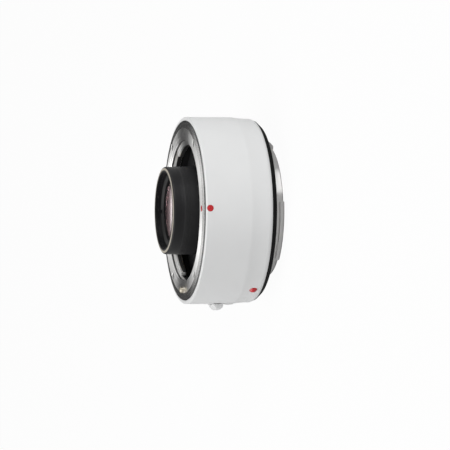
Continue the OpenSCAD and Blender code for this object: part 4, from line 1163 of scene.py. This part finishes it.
def coil(name, radius, wire, low, high, turns):
    """A round wire wound up the axis by the Screw modifier, closed at its ends."""
    deselect()
    bpy.ops.mesh.primitive_circle_add(
        vertices=12, radius=wire * MM, location=(radius * MM, 0, (low + wire) * MM),
        rotation=(math.pi / 2, 0, 0),
    )
    piece = settle(name_it(bpy.context.object, name))
    bpy.ops.object.modifier_add(type="SCREW")
    wind = piece.modifiers[-1]
    wind.axis = "Z"
    wind.angle = 2 * math.pi * turns
    wind.screw_offset = (high - low - 2 * wire) * MM
    wind.steps = wind.render_steps = int(24 * turns)
    wind.use_merge_vertices = False
    bpy.ops.object.modifier_apply(modifier=wind.name)
    bpy.ops.object.mode_set(mode="EDIT")
    return close_up(piece)


class CONVERTER_OT_springs(bpy.types.Operator):
    """Wind the eight contact springs and the lock spring"""
    bl_idname = "converter.springs"
    bl_label = "Springs"

    def execute(self, context):
        c = sizes(context, "contacts")
        r = sizes(context, "release")
        spring = coil("spring", c.collar - 0.16, 0.08, c.low, COLLAR_LOW, 3.5)
        for number, angle in CONTACTS:
            node = f"contact_spring_{number}"
            piece = at_clock(twin(spring, node), angle, c.ring)
            dress(piece, "spring_steel", "housing", node)
            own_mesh(piece)
        remove(spring)
        lock = at_clock(coil("lock_spring", 1.15, 0.15, 6.8, 11.2, 4.5), LEVER_AT, r.pin_at)
        dress(lock, "spring_steel", "housing", "lock_spring")
        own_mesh(lock)
        return {"FINISHED"}


INNER_FINISHES = {
    "mount_spring": "spring_steel", "main_frame": "cast_frame", "tube_screws": "screw_steel",
    "spacer_1": "black_anodised", "spacer_2": "black_anodised", "rear_shim": "spring_steel",
    "circuit_board": "board_green", "board_chips": "black_plastic", "board_screws": "screw_steel",
    "front_flex": "flex_amber", "rear_flex": "flex_amber", "lock_slider": "cast_frame",
    "lever_screw": "screw_steel",
}


class CONVERTER_OT_inner_parts(bpy.types.Operator):
    """Give the inner parts that keep their solid shape their own finishes"""
    bl_idname = "converter.inner_parts"
    bl_label = "Inner Parts"

    def execute(self, context):
        for node, slot in INNER_FINISHES.items():
            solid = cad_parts[node]
            solid.data.materials.clear()
            solid.data.materials.append(finish(slot))
        return {"FINISHED"}


# Stage

VIEW_TILT = 13.9
VIEW_TURN = -1.25
CAMERA_FAR = 1500
LENS = 312
SHIFT_RIGHT = 16.15
SHIFT_DOWN = 5.56

# Lamps and the dark card behind the part, in metres and watts.
AIM = (0, 0, 0.012)
KEY = {"place": (0.68, -0.56, 0.3), "width": 0.7, "height": 0.5, "watts": 5.4}
FILL = {"place": (-0.45, -0.1, 0.76), "width": 1.0, "height": 1.0, "watts": 7.9}
FLAG_FAR = 0.55
FLAG_WIDE = 1.1
FLAG_HIGH = 0.25
SOFT_LIGHT = 0.14
FLOOR_GLOW = 0.96


def pale_ray(tree, mirrored=True):
    """1 for rays that come straight from the camera or a glass, and from a mirror if it is asked for."""
    rays = add(tree, "ShaderNodeLightPath")
    seen = rays.outputs["Is Camera Ray"]
    for kind in ("Is Transmission Ray", "Is Glossy Ray") if mirrored else ("Is Transmission Ray",):
        seen = add(tree, "ShaderNodeMath", {0: seen, 1: rays.outputs[kind]}, operation="MAXIMUM").outputs[0]
    return seen


def lamp(name, place, width, height, watts):
    deselect()
    bpy.ops.object.light_add(type="AREA", location=place)
    light = bpy.context.object
    light.name = name
    light.data.shape = "RECTANGLE"
    light.data.size = width
    light.data.size_y = height
    light.data.energy = watts
    light.rotation_euler = (Vector(AIM) - Vector(place)).to_track_quat("-Z", "Y").to_euler()
    return light


class CONVERTER_OT_stage(bpy.types.Operator):
    """Set the pale floor, the soft light and the camera"""
    bl_idname = "converter.stage"
    bl_label = "Stage"

    def execute(self, context):
        scene = context.scene
        tints = scene.converter_finishes
        scene.view_settings.view_transform = "Standard"
        low = CAD_BOX[0].z
        deselect()
        bpy.ops.mesh.primitive_plane_add(size=8, location=(0, 0, low))
        floor = settle(name_it(bpy.context.object, "floor"))
        cover, tree, shader = shader_of("floor_paper", {"Roughness": 0.9, "Specular IOR Level": 0.1})
        where = add(tree, "ShaderNodeTexCoord").outputs["Object"]
        mottle = add(tree, "ShaderNodeTexNoise", {"Vector": where, "Scale": 30.0}).outputs["Fac"]
        tone = shades(tree, mottle, [c * 0.99 for c in tints.floor], tuple(tints.floor))
        tree.links.new(tone, shader.inputs["Base Color"])
        glow = add(tree, "ShaderNodeEmission", {"Color": (1, 1, 1, 1), "Strength": 1.0})
        share = add(tree, "ShaderNodeMath", {0: pale_ray(tree, False), 1: FLOOR_GLOW}, operation="MULTIPLY")
        blend = {0: share.outputs[0], 1: shader.outputs[0], 2: glow.outputs[0]}
        mix = add(tree, "ShaderNodeMixShader", blend)
        tree.links.new(mix.outputs[0], tree.nodes["Material Output"].inputs["Surface"])
        floor.data.materials.append(cover)

        deselect()
        centre = (0, FLAG_FAR, FLAG_HIGH / 2)
        bpy.ops.mesh.primitive_plane_add(size=1, location=centre, rotation=(math.pi / 2, 0, 0))
        flag = name_it(bpy.context.object, "flag")
        flag.scale = (FLAG_WIDE, FLAG_HIGH, 1)
        settle(flag)
        felt, tree, shader = shader_of("flag_felt", {"Base Color": (0.06, 0.06, 0.06, 1), "Roughness": 0.9})
        flag.data.materials.append(felt)
        flag.visible_camera = False
        flag.visible_diffuse = False
        flag.visible_shadow = False
        flag.visible_transmission = False

        lamp("key", **KEY)
        lamp("fill", **FILL)

        world = bpy.data.worlds.new("studio")
        world.use_nodes = True
        tree = world.node_tree
        soft = tree.nodes["Background"]
        soft.inputs["Color"].default_value = (1, 1, 1, 1)
        soft.inputs["Strength"].default_value = SOFT_LIGHT
        seen = add(tree, "ShaderNodeBackground", {"Color": (1, 1, 1, 1), "Strength": 1.0})
        mix = add(tree, "ShaderNodeMixShader", {0: pale_ray(tree), 1: soft.outputs[0], 2: seen.outputs[0]})
        tree.links.new(mix.outputs[0], tree.nodes["World Output"].inputs["Surface"])
        scene.world = world

        tilt = math.radians(VIEW_TILT)
        right = Vector((0, -math.sin(tilt), -math.cos(tilt)))
        up = Vector((1, 0, 0))
        back = Vector((0, -math.cos(tilt), math.sin(tilt)))
        place = Vector((0, 0, 27.2)) + CAMERA_FAR * back + SHIFT_RIGHT * right - SHIFT_DOWN * up
        deselect()
        bpy.ops.object.camera_add()
        camera = context.object
        camera.name = "camera"
        camera.data.lens = LENS
        camera.data.sensor_width = 36
        camera.data.clip_end = 20
        looking = Matrix.Translation(place * MM) @ Matrix((right, up, back)).transposed().to_4x4()
        camera.matrix_world = Matrix.Rotation(math.radians(VIEW_TURN), 4, "Z") @ looking
        scene.camera = camera
        return {"FINISHED"}


OPERATORS = (
    CONVERTER_OT_barrel, CONVERTER_OT_index_dots, CONVERTER_OT_front_mount, CONVERTER_OT_mount_screws,
    CONVERTER_OT_lens_tube, CONVERTER_OT_glass, CONVERTER_OT_front_baffle, CONVERTER_OT_front_contacts,
    CONVERTER_OT_rear_mount, CONVERTER_OT_rear_seal, CONVERTER_OT_rear_baffle, CONVERTER_OT_rear_contacts,
    CONVERTER_OT_release, CONVERTER_OT_springs, CONVERTER_OT_inner_parts, CONVERTER_OT_stage,
)


class CONVERTER_PT_pieces(bpy.types.Panel):
    """The pieces of the converter and their sizes"""
    bl_idname = "CONVERTER_PT_pieces"
    bl_label = "Converter"
    bl_space_type = "VIEW_3D"
    bl_region_type = "UI"
    bl_category = "Converter"

    def draw(self, context):
        for maker in OPERATORS:
            self.layout.operator(maker.bl_idname)
        for name, kind in GROUPS.items():
            box = self.layout.box()
            box.label(text=kind.__doc__)
            for prop in kind.__annotations__:
                box.prop(getattr(context.scene, name), prop)


CLASSES = tuple(GROUPS.values()) + OPERATORS + (CONVERTER_PT_pieces,)


def register():
    for made in CLASSES:
        bpy.utils.register_class(made)
    for name, kind in GROUPS.items():
        setattr(bpy.types.Scene, name, PointerProperty(type=kind))


def unregister():
    for name in GROUPS:
        delattr(bpy.types.Scene, name)
    for made in reversed(CLASSES):
        bpy.utils.unregister_class(made)


def main():
    register()
    for maker in OPERATORS:
        family, name = maker.bl_idname.split(".")
        getattr(getattr(bpy.ops, family), name)()


if __name__ == "__main__":
    main()
